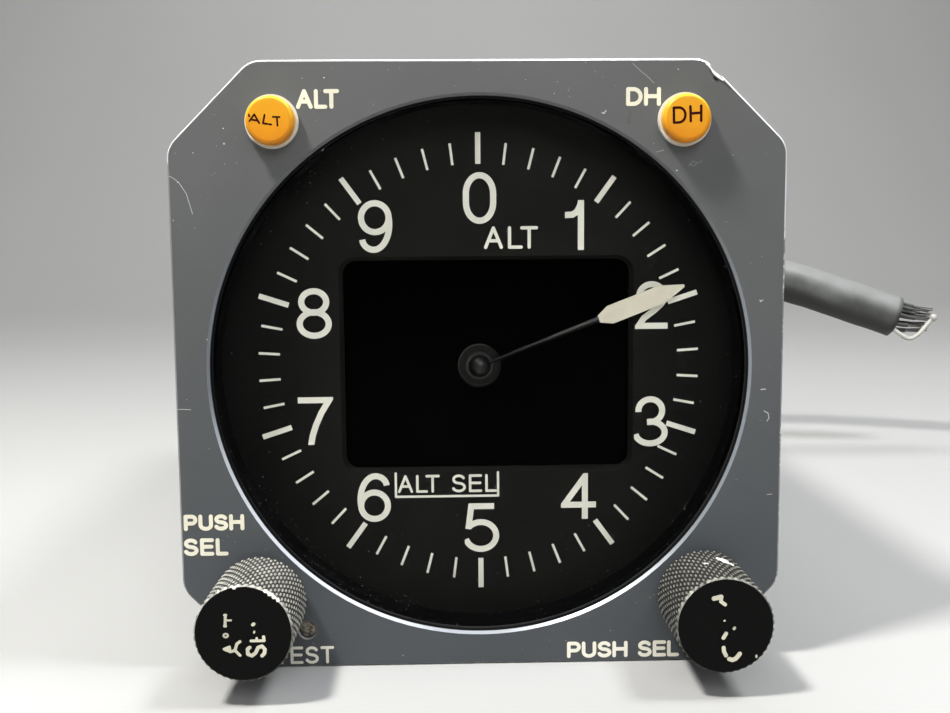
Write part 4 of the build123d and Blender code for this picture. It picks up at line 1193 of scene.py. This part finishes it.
def knurled_knob(name, x, z, radius, front, back, facts):
    """A knob with a flat face, a worn toothed edge, a diamond knurl of pyramids and a pocket behind."""
    count = 2 * facts.grooves
    start, end, rows = knurl_rows(radius, front, back, facts)
    floor = back - facts.pocket_depth
    made = bmesh.new()
    rim = made.verts.layers.float.new("rim")
    pointed = set()
    face_edge = radius - facts.edge
    rings = [ring_of(made.verts, count, face_edge, front, x, z)]
    rings.append(ring_of(made.verts, count, face_edge + RIM_STEP, front + RIM_STEP, x, z))
    for vert in rings[1]:
        vert[rim] = 0.7
    for row in range(rows + 1):
        y = start + (end - start) * row / rows
        ring = ring_of(made.verts, count, radius, y, x, z)
        for i, vert in enumerate(ring):
            vert[rim] = 1.0 if row == 0 else 0.0
            if (i + row) % 2 == 0:
                inward = Vector((x - vert.co.x, 0, z - vert.co.z)).normalized()
                vert.co += inward * facts.knurl_depth
                vert[rim] = 0.5 if row == 0 else 0.0
            else:
                pointed.add(vert)
        rings.append(ring)
    behind = [
        (face_edge, back), (facts.pocket_radius, back), (facts.pocket_radius, floor), (KNOB_BORE, floor),
        (KNOB_BORE, back - facts.bore_depth),
    ]
    rings += [ring_of(made.verts, count, reach, y, x, z) for reach, y in behind]
    for first, second in zip(rings, rings[1:]):
        for i in range(count):
            j = (i + 1) % count
            quad = [first[i], second[i], second[j], first[j]]
            if first[i] not in pointed:
                made.faces.new([quad[0], quad[1], quad[2]])
                made.faces.new([quad[0], quad[2], quad[3]])
            else:
                made.faces.new([quad[0], quad[1], quad[3]])
                made.faces.new([quad[1], quad[2], quad[3]])
    made.faces.new(rings[0])
    made.faces.new(list(reversed(rings[-1])))
    bmesh.ops.recalc_face_normals(made, faces=made.faces)
    return mesh_of(made, name)


def drilled(mesh, place, radius, reach):
    """The mesh with a round hole that goes up from a place by reach."""
    made = bmesh.new()
    upright = Matrix.Translation(place)
    bmesh.ops.create_cone(
        made, cap_ends=True, segments=24, radius1=radius, radius2=radius, depth=2 * reach, matrix=upright,
    )
    drill_mesh = mesh_of(made, "drill")
    body, drill = bpy.data.objects.new("body", mesh), bpy.data.objects.new("drill", drill_mesh)
    for item in (body, drill):
        bpy.context.scene.collection.objects.link(item)
    cut = body.modifiers.new("cut", "BOOLEAN")
    cut.operation = "DIFFERENCE"
    cut.solver = "EXACT"
    cut.object = drill
    result = bpy.data.meshes.new_from_object(body.evaluated_get(bpy.context.evaluated_depsgraph_get()))
    result.name = mesh.name
    bpy.data.objects.remove(body)
    bpy.data.objects.remove(drill)
    bpy.data.meshes.remove(mesh)
    bpy.data.meshes.remove(drill_mesh)
    return result


def knurl_points(finish, facts, center_x, center_z, rows):
    """1 on the knurl's points and 0 between them. The points are worn, and narrowing them into streaks along Y stands
    in for the lit faces of the knurl's pyramids, a painted highlight.
    """
    x, y, z = finish.axes()
    start, end, steps = rows
    angle = finish.math("ARCTAN2", finish.minus(x, center_x), finish.minus(z, center_z))
    around = finish.math("COSINE", finish.times(angle, facts.grooves))
    turns = finish.times(finish.minus(y, start), math.pi * steps / (end - start))
    along = finish.math("COSINE", turns)
    points = 0.0
    # Narrow streaks along Y: partly wear, partly painted highlight of the pyramids' lit faces
    for sign in (1, -1):
        narrow = finish.math("POWER", finish.fit(around, sign, -sign, 0, 1), 2.4)
        tall = finish.math("POWER", finish.fit(along, -sign, sign, 0, 1), 0.6)
        points = finish.most(points, finish.times(narrow, tall))
    return points


def knob_finish(side, facts, center_x, center_z, rows):
    """Black coat, worn to metal on the knurl's points and on the front edge, with chips. The edge's wear grows
    towards the top as a painted highlight.
    """
    wear = KNOB_WEAR[side]
    finish = Finish("knob_black_" + side, facts.black, roughness=0.5, specular=0.06)
    rim = finish.node("ShaderNodeAttribute", {}, output=2, attribute_name="rim")
    patches = finish.times(finish.around_zero(finish.noise(300.0, 4.0)), 0.5)
    level = finish.plus(knurl_points(finish, facts, center_x, center_z, rows), patches)
    points = finish.band(level, 0.55 - 0.30 * wear, 1.02 - 0.30 * wear)
    _, y, z = finish.axes()
    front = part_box("knob_" + side)[0].y
    behind = finish.band(y, front + 0.1 * MM, front + facts.edge)
    amount = finish.times(finish.fit(points, 0, 1, 0.02 + 0.06 * wear, 0.08 + 0.78 * wear), behind)
    # Painted highlight: the worn front edge is lighter and wider towards the top, where light falls
    upper = finish.fit(finish.band(finish.minus(z, center_z), -4.5 * MM, 4.0 * MM), 0, 1, 0.22, 1.0)
    rough_rim = finish.plus(rim, finish.around_zero(finish.noise(900.0, 3.0)))
    rim_wear_and_highlight = finish.times(finish.band(rough_rim, 0.25, 0.85), upper)
    amount = finish.most(amount, finish.times(rim_wear_and_highlight, 0.15 + 0.75 * wear))
    metal = finish.mottle(facts.worn, 900.0, 0.18)
    color = finish.mix(amount, facts.black, metal)
    chips = 0.0
    for angle, reach, depth, size in KNOB_CHIPS[side]:
        turn = math.radians(angle)
        place = (center_x + reach * MM * math.sin(turn), depth * MM, center_z + reach * MM * math.cos(turn))
        away = finish.node("ShaderNodeVectorMath", {0: finish.place(), 1: place}, output=1, operation="DISTANCE")
        ragged = finish.plus(away, finish.times(finish.noise(1200.0, 3.0), 0.5 * MM))
        chips = finish.most(chips, finish.band(ragged, (size + 0.30) * MM, (size + 0.20) * MM))
    finish.set("Base Color", finish.mix(chips, color, CHIP_CREAM))
    finish.set("Metallic", finish.times(amount, 0.3))
    finish.set("Roughness", finish.fit(amount, 0, 1, 0.50, 0.38))
    finish.bump(finish.noise(2200.0, 3.0), 0.015 * MM)
    return finish


class INDICATOR_OT_test_button(bpy.types.Operator):
    """Finishes the recessed test button and its switch"""

    bl_idname = "indicator.test_button"
    bl_label = "Test button"

    def execute(self, context):
        button = Finish("button_brown_grey", (0.13, 0.115, 0.085), roughness=0.6)
        dots = button.band(button.noise(2600.0, 3.0), 0.42, 0.60)
        low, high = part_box("test_button")
        x, _, z = button.axes()
        center_x, center_z = box_middle("test_button")
        radius = (high.x - low.x) / 2
        rim = button.band(button.radius_about(x, z, center_x, center_z), radius - 0.36 * MM, radius - 0.22 * MM)
        lean = button.plus(button.times(button.minus(x, center_x), 0.5), button.minus(z, center_z))
        lit = button.times(rim, button.band(lean, 0.1 * MM, -0.7 * MM))
        shaded = button.times(rim, button.band(lean, -0.1 * MM, 0.7 * MM))
        face = button.mix(shaded, button.mix(dots, BUTTON_DARK, BUTTON_LIGHT), BUTTON_SHADE)
        button.set("Base Color", button.mix(lit, face, BUTTON_LIT))
        button.bump(dots, 0.03 * MM)
        dress(button, "test_button")
        dress(grained("switch_moulded_black", (0.02, 0.02, 0.02), 0.5), "test_switch")
        return {"FINISHED"}


class INDICATOR_OT_works(bpy.types.Operator):
    """Finishes the works inside: plates, gears, motor, boards and encoders"""

    bl_idname = "indicator.works"
    bl_label = "Works inside"

    def execute(self, context):
        plate = brushed("machined_aluminium", ALUMINIUM, 0.36, (1, 1, 30))
        dress(plate, "display_carrier", "front_plate", "gear_plate", "bulkhead")
        rod = brushed("turned_aluminium", ALUMINIUM, 0.3, (1, 60, 1))
        dress(rod, "front_spacers", "motor_spacers", "tie_rods")
        brass = brushed("turned_brass", (0.78, 0.55, 0.22), 0.28, (1, 60, 1))
        dress(brass, "rear_bearing", "pointer_gear", "motor_pinion")
        # The front bearing is near black, unlike the brass parts
        dress(grained("bearing_blackened", (0.012, 0.012, 0.011), 0.45), "front_bearing")
        steel = brushed("bright_steel", (0.58, 0.58, 0.57), 0.3, (1, 40, 1))
        dress(steel, "pointer_shaft", "motor_shaft", "motor_body", "encoder_left", "encoder_right", "encoder_nuts")
        board = Finish("lacquered_board", (0.02, 0.12, 0.05), roughness=0.3, coat=0.5)
        tracks = board.node("ShaderNodeTexBrick", {
            "Vector": board.place(), "Scale": 120.0, "Mortar Size": 0.03, "Mortar": (0.03, 0.20, 0.09, 1),
            "Color1": (0.02, 0.11, 0.045, 1), "Color2": (0.02, 0.14, 0.06, 1),
        })
        board.set("Base Color", tracks)
        board.bump(board.noise(900.0), 0.02 * MM)
        dress(board, "display_board", "processor_board", "power_board")
        dress(grained("guide_grey_moulding", (0.28, 0.29, 0.30), 0.5), "card_guides")
        return {"FINISHED"}


class INDICATOR_OT_case(bpy.types.Operator):
    """Paints the case and rear plate and finishes their screws"""

    bl_idname = "indicator.case"
    bl_label = "Case"

    def execute(self, context):
        case = Finish("case_matt_black", CASE_BLACK, roughness=0.55, specular=0.35)
        case.set("Base Color", case.mottle(CASE_BLACK, 220.0, 0.1, detail=5.0))
        rubs = case.band(case.noise(90.0, 6.0, 0.7, stretch=(1, 0.25, 1)), 0.66, 0.80)
        case.set("Roughness", case.fit(rubs, 0, 1, 0.56, 0.46))
        case.bump(case.noise(1300.0, 3.0), 0.05 * MM)
        dress(case, "case", "rear_plate")
        screws = brushed("screw_steel", (0.55, 0.55, 0.53), 0.32, (30, 1, 1))
        dress(screws, "rear_screws", "receptacle_screws", "clamp_screws")
        return {"FINISHED"}


class INDICATOR_OT_connector(bpy.types.Operator):
    """Finishes the connector, its nut, the backshell and the cable clamp"""

    bl_idname = "indicator.connector"
    bl_label = "Connector"

    def execute(self, context):
        olive = (0.17, 0.165, 0.10)
        plated = Finish("dull_olive_plating", olive, roughness=0.45, metallic=0.75)
        plated.set("Base Color", plated.mottle(olive, 220.0, 0.22, detail=5.0))
        plated.set("Roughness", plated.fit(plated.noise(300.0), 0.3, 0.7, 0.36, 0.55))
        plated.bump(plated.noise(1600.0), 0.02 * MM)
        dress(plated, "connector_receptacle", "plug_shell", "coupling_nut", "backshell", "cable_clamp")
        return {"FINISHED"}


def route_points(route):
    """Points of the smooth line that has the route's points as its control points."""
    curve = bpy.data.curves.new("route", "CURVE")
    curve.dimensions = "3D"
    spline = curve.splines.new("NURBS")
    spline.points.add(len(route) - 1)
    for point, place in zip(spline.points, route):
        point.co = (*place, 1.0)
    spline.order_u = 3
    spline.use_endpoint_u = True
    spline.resolution_u = 16
    holder = bpy.data.objects.new("route", curve)
    bpy.context.scene.collection.objects.link(holder)
    mesh = bpy.data.meshes.new_from_object(holder.evaluated_get(bpy.context.evaluated_depsgraph_get()))
    points = [v.co.copy() for v in mesh.vertices]
    bpy.data.objects.remove(holder)
    bpy.data.meshes.remove(mesh)
    bpy.data.curves.remove(curve)
    return points


def frames_along(points):
    """The place, direction, side and up at each point of a line."""
    frames = []
    for i, point in enumerate(points):
        along = (points[min(i + 1, len(points) - 1)] - points[max(i - 1, 0)]).normalized()
        side = along.cross(Vector((0, 0, 1))).normalized()
        frames.append((point, along, side, side.cross(along)))
    return frames


def skin(made, rings):
    """Faces between rings of vertices, with both ends closed."""
    for first, second in zip(rings, rings[1:]):
        for i in range(len(first)):
            j = (i + 1) % len(first)
            made.faces.new([first[i], first[j], second[j], second[i]])
    made.faces.new(list(reversed(rings[0])))
    made.faces.new(rings[-1])


def tube_rings(made, frames, count, radius_at):
    """Rings of vertices across a line, each as wide as radius_at gives for its step and angle."""
    rings = []
    for step, (point, _, side, up) in enumerate(frames):
        ring = []
        for i in range(count):
            angle = 2 * math.pi * i / count
            radius = radius_at(step, angle)
            ring.append(made.verts.new(point + (side * math.cos(angle) + up * math.sin(angle)) * radius))
        rings.append(ring)
    return rings


class INDICATOR_OT_harness(bpy.types.Operator):
    """Makes the sleeved harness with its cut end and wires"""

    bl_idname = "indicator.harness"
    bl_label = "Harness"

    def execute(self, context):
        facts = context.scene.indicator_harness
        route = [HARNESS_EXIT + Vector(p) * MM for p in HARNESS_ROUTE]
        points = route_points(route)
        frames = frames_along(points)

        def outer(step, angle):
            lump = 0.012 * math.cos(WIRE_BUNDLES * angle + 0.05 * step)
            wrinkle = 0.02 * noise.noise(Vector((math.cos(angle) * 1.5, math.sin(angle) * 1.5, step * 0.22)))
            return facts.radius * (0.985 + lump + wrinkle)

        made = bmesh.new()
        rings = tube_rings(made, frames, SLEEVE_SIDES, outer)
        end, along, side, up = frames[-1]
        lip = facts.radius - facts.wall
        inner = [(end, along, side, up), (end - along * SLEEVE_MOUTH, along, side, up)]
        rings += tube_rings(made, inner, SLEEVE_SIDES, lambda step, angle: lip)
        skin(made, rings)
        bmesh.ops.recalc_face_normals(made, faces=made.faces)
        mesh = mesh_of(made, "harness_shrunk_sleeve")
        finish = grained("sleeve_dark_grey", facts.sleeve, 0.55, grain=700.0, height=0.08 * MM, amount=0.15,
                         specular=0.35)
        # Painted light with dust: the sleeve is lighter on its upper side, where light from above falls, in patches
        # of dust
        facing = finish.tree.nodes.new("ShaderNodeNewGeometry").outputs["Normal"]
        upward = finish.node("ShaderNodeSeparateXYZ", {"Vector": facing}, output=2)
        cloudy = finish.plus(upward, finish.times(finish.noise(110.0, 5.0), 0.9))
        lit_and_dusty = finish.band(cloudy, -0.05, 1.25)
        finish.set("Base Color", finish.mix(lit_and_dusty, facts.sleeve, facts.sleeve_top_lit_dust))
        sleeve = add_piece("harness_shrunk_sleeve", mesh, finish, "instrument", smooth=True)
        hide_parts("harness_sleeve")
        wires = self.wires(facts, frames[-1])
        return {"FINISHED"}

    def wires(self, facts, cut):
        """The dark wires with their bare strands, and the white one with a round end."""
        end, along, side, up = cut
        rng = random.Random(7)

        def at(distance, across, rise):
            return end + (along * distance + side * across + up * rise) * MM

        dark, strands, white = bmesh.new(), bmesh.new(), bmesh.new()
        for index, length in enumerate(WIRE_LENGTHS):
            outer = index < OUTER_WIRES
            ring_count = OUTER_WIRES if outer else len(WIRE_LENGTHS) - OUTER_WIRES
            angle = 2 * math.pi * index / ring_count
            reach = OUTER_WIRE_RING if outer else INNER_WIRE_RING
            across, rise = reach * math.sin(angle), reach * math.cos(angle)
            bend = rng.uniform(-0.5, 0.5)
            cover = length * rng.uniform(0.62, 0.8)
            path = route_points([
                at(-2.5, across, rise),
                at(1.0, across, rise),
                at(length * 0.5, across * 0.9 + bend, rise * 0.9 + 0.6),
                at(length, across * 0.8, rise * 0.8 + 0.3 * (length - 3.0)),
            ])
            share = max(3, round(len(path) * cover / length))
            self.wire(dark, path[:share], facts.wire_radius * 0.9)
            for _ in range(STRANDS_PER_WIRE):
                turn = rng.uniform(0, 2 * math.pi)
                offset = (side * math.cos(turn) + up * math.sin(turn)) * facts.wire_radius * 0.55
                spread = (side * rng.uniform(-1, 1) + up * rng.uniform(-1, 1)) * 0.25 * MM
                rest = path[share - 2:]
                drift = [p + offset + spread * i / max(1, len(rest) - 1) for i, p in enumerate(rest)]
                self.wire(strands, drift, STRAND_RADIUS, count=6)
        white_path = route_points([at(*p) for p in WHITE_WIRE])
        self.wire(white, white_path, facts.wire_radius * 0.85)
        bmesh.ops.create_icosphere(
            white, subdivisions=3, radius=1.4 * facts.wire_radius, matrix=Matrix.Translation(white_path[-1]),
        )
        cover = grained("wire_dark_cover", (0.03, 0.03, 0.028), 0.5)
        tinned = grained("wire_tinned_strand", (0.070, 0.068, 0.062), 0.5, metallic=0.3)
        bright = grained("wire_white_cover", (0.36, 0.35, 0.325), 0.45)
        looks = [
            ("wires_dark", dark, cover, "wire_dark", "cut_wires"),
            ("wires_strands", strands, tinned, "wire_dark", None),
            ("wire_bright", white, bright, "wire_white", "white_wire"),
        ]
        pieces = []
        for name, made, finish, slot, node in looks:
            bmesh.ops.recalc_face_normals(made, faces=made.faces)
            piece = add_piece(name, mesh_of(made, name), finish, "instrument", smooth=True)
            if node:
                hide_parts(node)
            pieces.append(piece)
        return pieces

    def wire(self, made, path, radius, count=12):
        """Adds a round wire along a path."""
        frames = frames_along(path)
        skin(made, tube_rings(made, frames, count, lambda step, angle: radius))


class INDICATOR_OT_wear(bpy.types.Operator):
    """Adds scratches, specks and dust"""

    bl_idname = "indicator.wear"
    bl_label = "Wear and dust"

    def execute(self, context):
        rng = random.Random(23)
        marks = [
            ("bezel_scratches", SCRATCHES, "scratch_bare_metal", (0.42, 0.42, 0.41), 0.4, 0.12),
            # Bare metal of the knock, made light as a painted highlight
            ("bezel_bare_lines", BARE_LINES_AND_HIGHLIGHT, "bared_bright_metal", (0.70, 0.71, 0.72), 0.4, 0.12),
            ("bezel_rubs", RUBS, "rub_dull_grey", (0.19, 0.19, 0.18), 0.6, 0.12),
            ("bezel_smudges", DARK_GREY_MARKS, "smudge_dark_grey", (0.055, 0.056, 0.056), 0.6, 0.12),
            ("bezel_stains", KNOCK_DARK_MARKS, "stain_dark_brown", (0.035, 0.026, 0.020), 0.7, 0.3),
        ]
        for name, lines, look, color, roughness, amount in marks:
            finish = grained(look, color, roughness, grain=2500.0, amount=amount)
            groups = [line_shapes(line, width) for line, width in lines]
            print_piece(name, groups, FACE_Y, SCRATCH_HEIGHT, finish)
        half = BEZEL_HALF / MM
        specks = [[blob(x, z, radius, rng)] for x, z, radius in SPECKS]
        while len(specks) < SPECK_COUNT:
            x, z = rng.uniform(-half, half), rng.uniform(-half, half)
            inside = abs(x) < half - 1 and abs(z) < half - 1 and abs(x) + abs(z) < BEZEL_REACH / MM - 2
            if inside and math.hypot(x, z) > BEVEL_RADIUS / MM + 0.6 and self.clear_of_controls(x, z):
                specks.append([blob(x, z, rng.choice(SPECK_SIZES), rng)])
        finish = grained("speck_pale", (0.48, 0.48, 0.45), 0.7)
        print_piece("bezel_specks", specks, FACE_Y, SPECK_HEIGHT, finish)
        dust = []
        for _ in range(context.scene.indicator_dial.dust_count):
            angle, reach = rng.uniform(0, 2 * math.pi), DIAL_DUST_REACH * math.sqrt(rng.uniform(0.16, 1))
            x, z = reach * math.sin(angle), reach * math.cos(angle)
            if abs(x - DISPLAY_MIDDLE_X) >= DISPLAY_HALF_X or abs(z) >= DISPLAY_HALF_Z:
                dust.append([blob(x, z, rng.choice(DIAL_DUST_SIZES), rng)])
        finish = grained("dust_grey", (0.20, 0.195, 0.18), 0.8)
        print_piece("dial_dust", dust, DIAL_Y, SPECK_HEIGHT, finish)
        self.glass_dust(rng)
        return {"FINISHED"}

    def glass_dust(self, rng):
        """Specks on the glass beside the window's bevel, thickest at the lower left."""
        specks = []
        for start, end, count in GLASS_DUST:
            for _ in range(count):
                angle, reach = math.radians(rng.uniform(start, end)), rng.uniform(*GLASS_DUST_REACH)
                size = rng.choice(GLASS_DUST_SIZES)
                specks.append([blob(reach * math.sin(angle), reach * math.cos(angle), size, rng)])
        finish = grained("glass_dust_grey", (0.34, 0.33, 0.32), 0.8)
        print_piece("glass_dust", specks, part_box("cover_glass")[0].y, SPECK_HEIGHT, finish)

    def clear_of_controls(self, x, z):
        """Whether a place on the bezel, in millimetres, lies clear of the lamps, the knobs and the button."""
        controls = [(LAMP_X, LAMP_Z), (-LAMP_X, LAMP_Z)]
        controls += [box_middle(node) for node in ("knob_left", "knob_right", "test_button")]
        return all(math.hypot(x - cx / MM, z - cz / MM) > CONTROL_CLEARANCE for cx, cz in controls)


class INDICATOR_OT_stage(bpy.types.Operator):
    """Makes the floor, the lights, the even light and the camera"""

    bl_idname = "indicator.stage"
    bl_label = "Stage"

    def execute(self, context):
        facts = context.scene.indicator_stage
        self.floor(facts)
        for name, setting, place, size, color, target in LIGHTS:
            self.lamp(name, getattr(facts, setting), place, size, color, target)
        self.even_light(context, facts)
        self.camera(context)
        context.scene.view_settings.view_transform = "Standard"
        return {"FINISHED"}

    def floor(self, facts):
        """A pale floor that sweeps up to a backdrop and looks paler where it is far from the object."""
        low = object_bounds()[0][2]
        made = bmesh.new()
        foot = FLOOR_BACK - SWEEP_RADIUS
        profile = [(FLOOR_FRONT, low), (0.0, low), (foot, low)]
        for i in range(1, SWEEP_STEPS + 1):
            angle = math.radians(90 * i / SWEEP_STEPS)
            profile.append((foot + SWEEP_RADIUS * math.sin(angle), low + SWEEP_RADIUS * (1 - math.cos(angle))))
        profile.append((FLOOR_BACK, FLOOR_TOP))
        left = [made.verts.new((-FLOOR_HALF, y, z)) for y, z in profile]
        right = [made.verts.new((FLOOR_HALF, y, z)) for y, z in profile]
        for i in range(len(profile) - 1):
            made.faces.new([left[i], right[i], right[i + 1], left[i + 1]])
        mesh = mesh_of(made, "floor")
        finish = Finish("pale_floor", facts.floor, roughness=0.85, specular=0.1)
        finish.set("Base Color", finish.mottle(facts.floor, 3.0, 0.015))
        x, y, _ = finish.axes()
        aside = finish.minus(finish.math("ABSOLUTE", x), GLOW_ASIDE)
        ahead = finish.minus(finish.times(y, -1.0), GLOW_AHEAD)
        seen = finish.tree.nodes.new("ShaderNodeLightPath").outputs["Is Camera Ray"]
        away = finish.band(finish.most(aside, ahead), 0.0, GLOW_GROWTH)
        glow = finish.times(away, facts.distant_glow)
        finish.set("Emission Color", (1.0, 1.0, 0.99))
        finish.set("Emission Strength", finish.times(glow, seen))
        mesh.materials.append(finish.material)
        mesh.shade_smooth()
        floor = bpy.data.objects.new("floor", mesh)
        bpy.context.scene.collection.objects.link(floor)
        floor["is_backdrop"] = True

    def lamp(self, name, power, place, size, color, target):
        """A square area light that faces its target."""
        data = bpy.data.lights.new(name, "AREA")
        data.size = size
        data.energy = power
        data.color = color
        lamp = bpy.data.objects.new(name, data)
        lamp.location = place
        aim = Vector(target) - Vector(place)
        lamp.rotation_euler = aim.to_track_quat("-Z", "Y").to_euler()
        bpy.context.scene.collection.objects.link(lamp)

    def even_light(self, context, facts):
        """Even light from all sides, which looks paler to the camera than it lights."""
        world = bpy.data.worlds.new("even_light")
        context.scene.world = world
        world.use_nodes = True
        background = world.node_tree.nodes["Background"]
        background.inputs["Color"].default_value = (0.97, 0.985, 1.0, 1.0)
        nodes, links = world.node_tree.nodes, world.node_tree.links
        seen = nodes.new("ShaderNodeLightPath").outputs["Is Camera Ray"]
        strength = nodes.new("ShaderNodeMapRange")
        links.new(seen, strength.inputs["Value"])
        strength.inputs["To Min"].default_value = facts.world_strength
        strength.inputs["To Max"].default_value = facts.backdrop_level
        links.new(strength.outputs[0], background.inputs["Strength"])

    def camera(self, context):
        """The camera that was solved from the photograph."""
        data = bpy.data.cameras.new("camera")
        data.sensor_width = SENSOR_WIDTH
        data.sensor_fit = "HORIZONTAL"
        data.lens = CAMERA_FOCAL_PIXELS * SENSOR_WIDTH / PHOTO_WIDTH
        data.clip_start = 0.01
        camera = bpy.data.objects.new("camera", data)
        back = CAMERA_RIGHT.cross(CAMERA_UP)
        turn = Matrix((CAMERA_RIGHT, CAMERA_UP, back)).transposed().to_4x4()
        camera.matrix_world = Matrix.Translation(CAMERA_PLACE) @ turn
        context.scene.collection.objects.link(camera)
        context.scene.camera = camera


class INDICATOR_PT_panel(bpy.types.Panel):
    """The indicator's pieces and settings"""

    bl_idname = "INDICATOR_PT_panel"
    bl_label = "Indicator"
    bl_space_type = "VIEW_3D"
    bl_region_type = "UI"
    bl_category = "Indicator"

    def draw(self, context):
        for operator in OPERATORS:
            self.layout.operator(operator.bl_idname)
        for name in SETTINGS:
            box = self.layout.box()
            group = getattr(context.scene, name)
            for key in group.__annotations__:
                box.prop(group, key)


SETTINGS = {
    "indicator_bezel": BezelFinish,
    "indicator_dial": DialFinish,
    "indicator_lamps": LampFinish,
    "indicator_knobs": KnobSizes,
    "indicator_harness": HarnessSizes,
    "indicator_stage": StageSettings,
}
OPERATORS = (
    INDICATOR_OT_harness,
    INDICATOR_OT_bezel,
    INDICATOR_OT_bezel_print,
    INDICATOR_OT_dial,
    INDICATOR_OT_dial_print,
    INDICATOR_OT_pointer,
    INDICATOR_OT_glass,
    INDICATOR_OT_lamps,
    INDICATOR_OT_knobs,
    INDICATOR_OT_test_button,
    INDICATOR_OT_works,
    INDICATOR_OT_case,
    INDICATOR_OT_connector,
    INDICATOR_OT_wear,
    INDICATOR_OT_stage,
)


def register():
    for group in SETTINGS.values():
        bpy.utils.register_class(group)
    for name, group in SETTINGS.items():
        setattr(bpy.types.Scene, name, PointerProperty(type=group))
    for operator in OPERATORS:
        bpy.utils.register_class(operator)
    bpy.utils.register_class(INDICATOR_PT_panel)


def unregister():
    bpy.utils.unregister_class(INDICATOR_PT_panel)
    for operator in reversed(OPERATORS):
        bpy.utils.unregister_class(operator)
    for name in SETTINGS:
        delattr(bpy.types.Scene, name)
    for group in reversed(SETTINGS.values()):
        bpy.utils.unregister_class(group)


def main():
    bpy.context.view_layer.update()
    register()
    for operator in OPERATORS:
        group, name = operator.bl_idname.split(".")
        getattr(getattr(bpy.ops, group), name)()


if __name__ == "__main__":
    main()
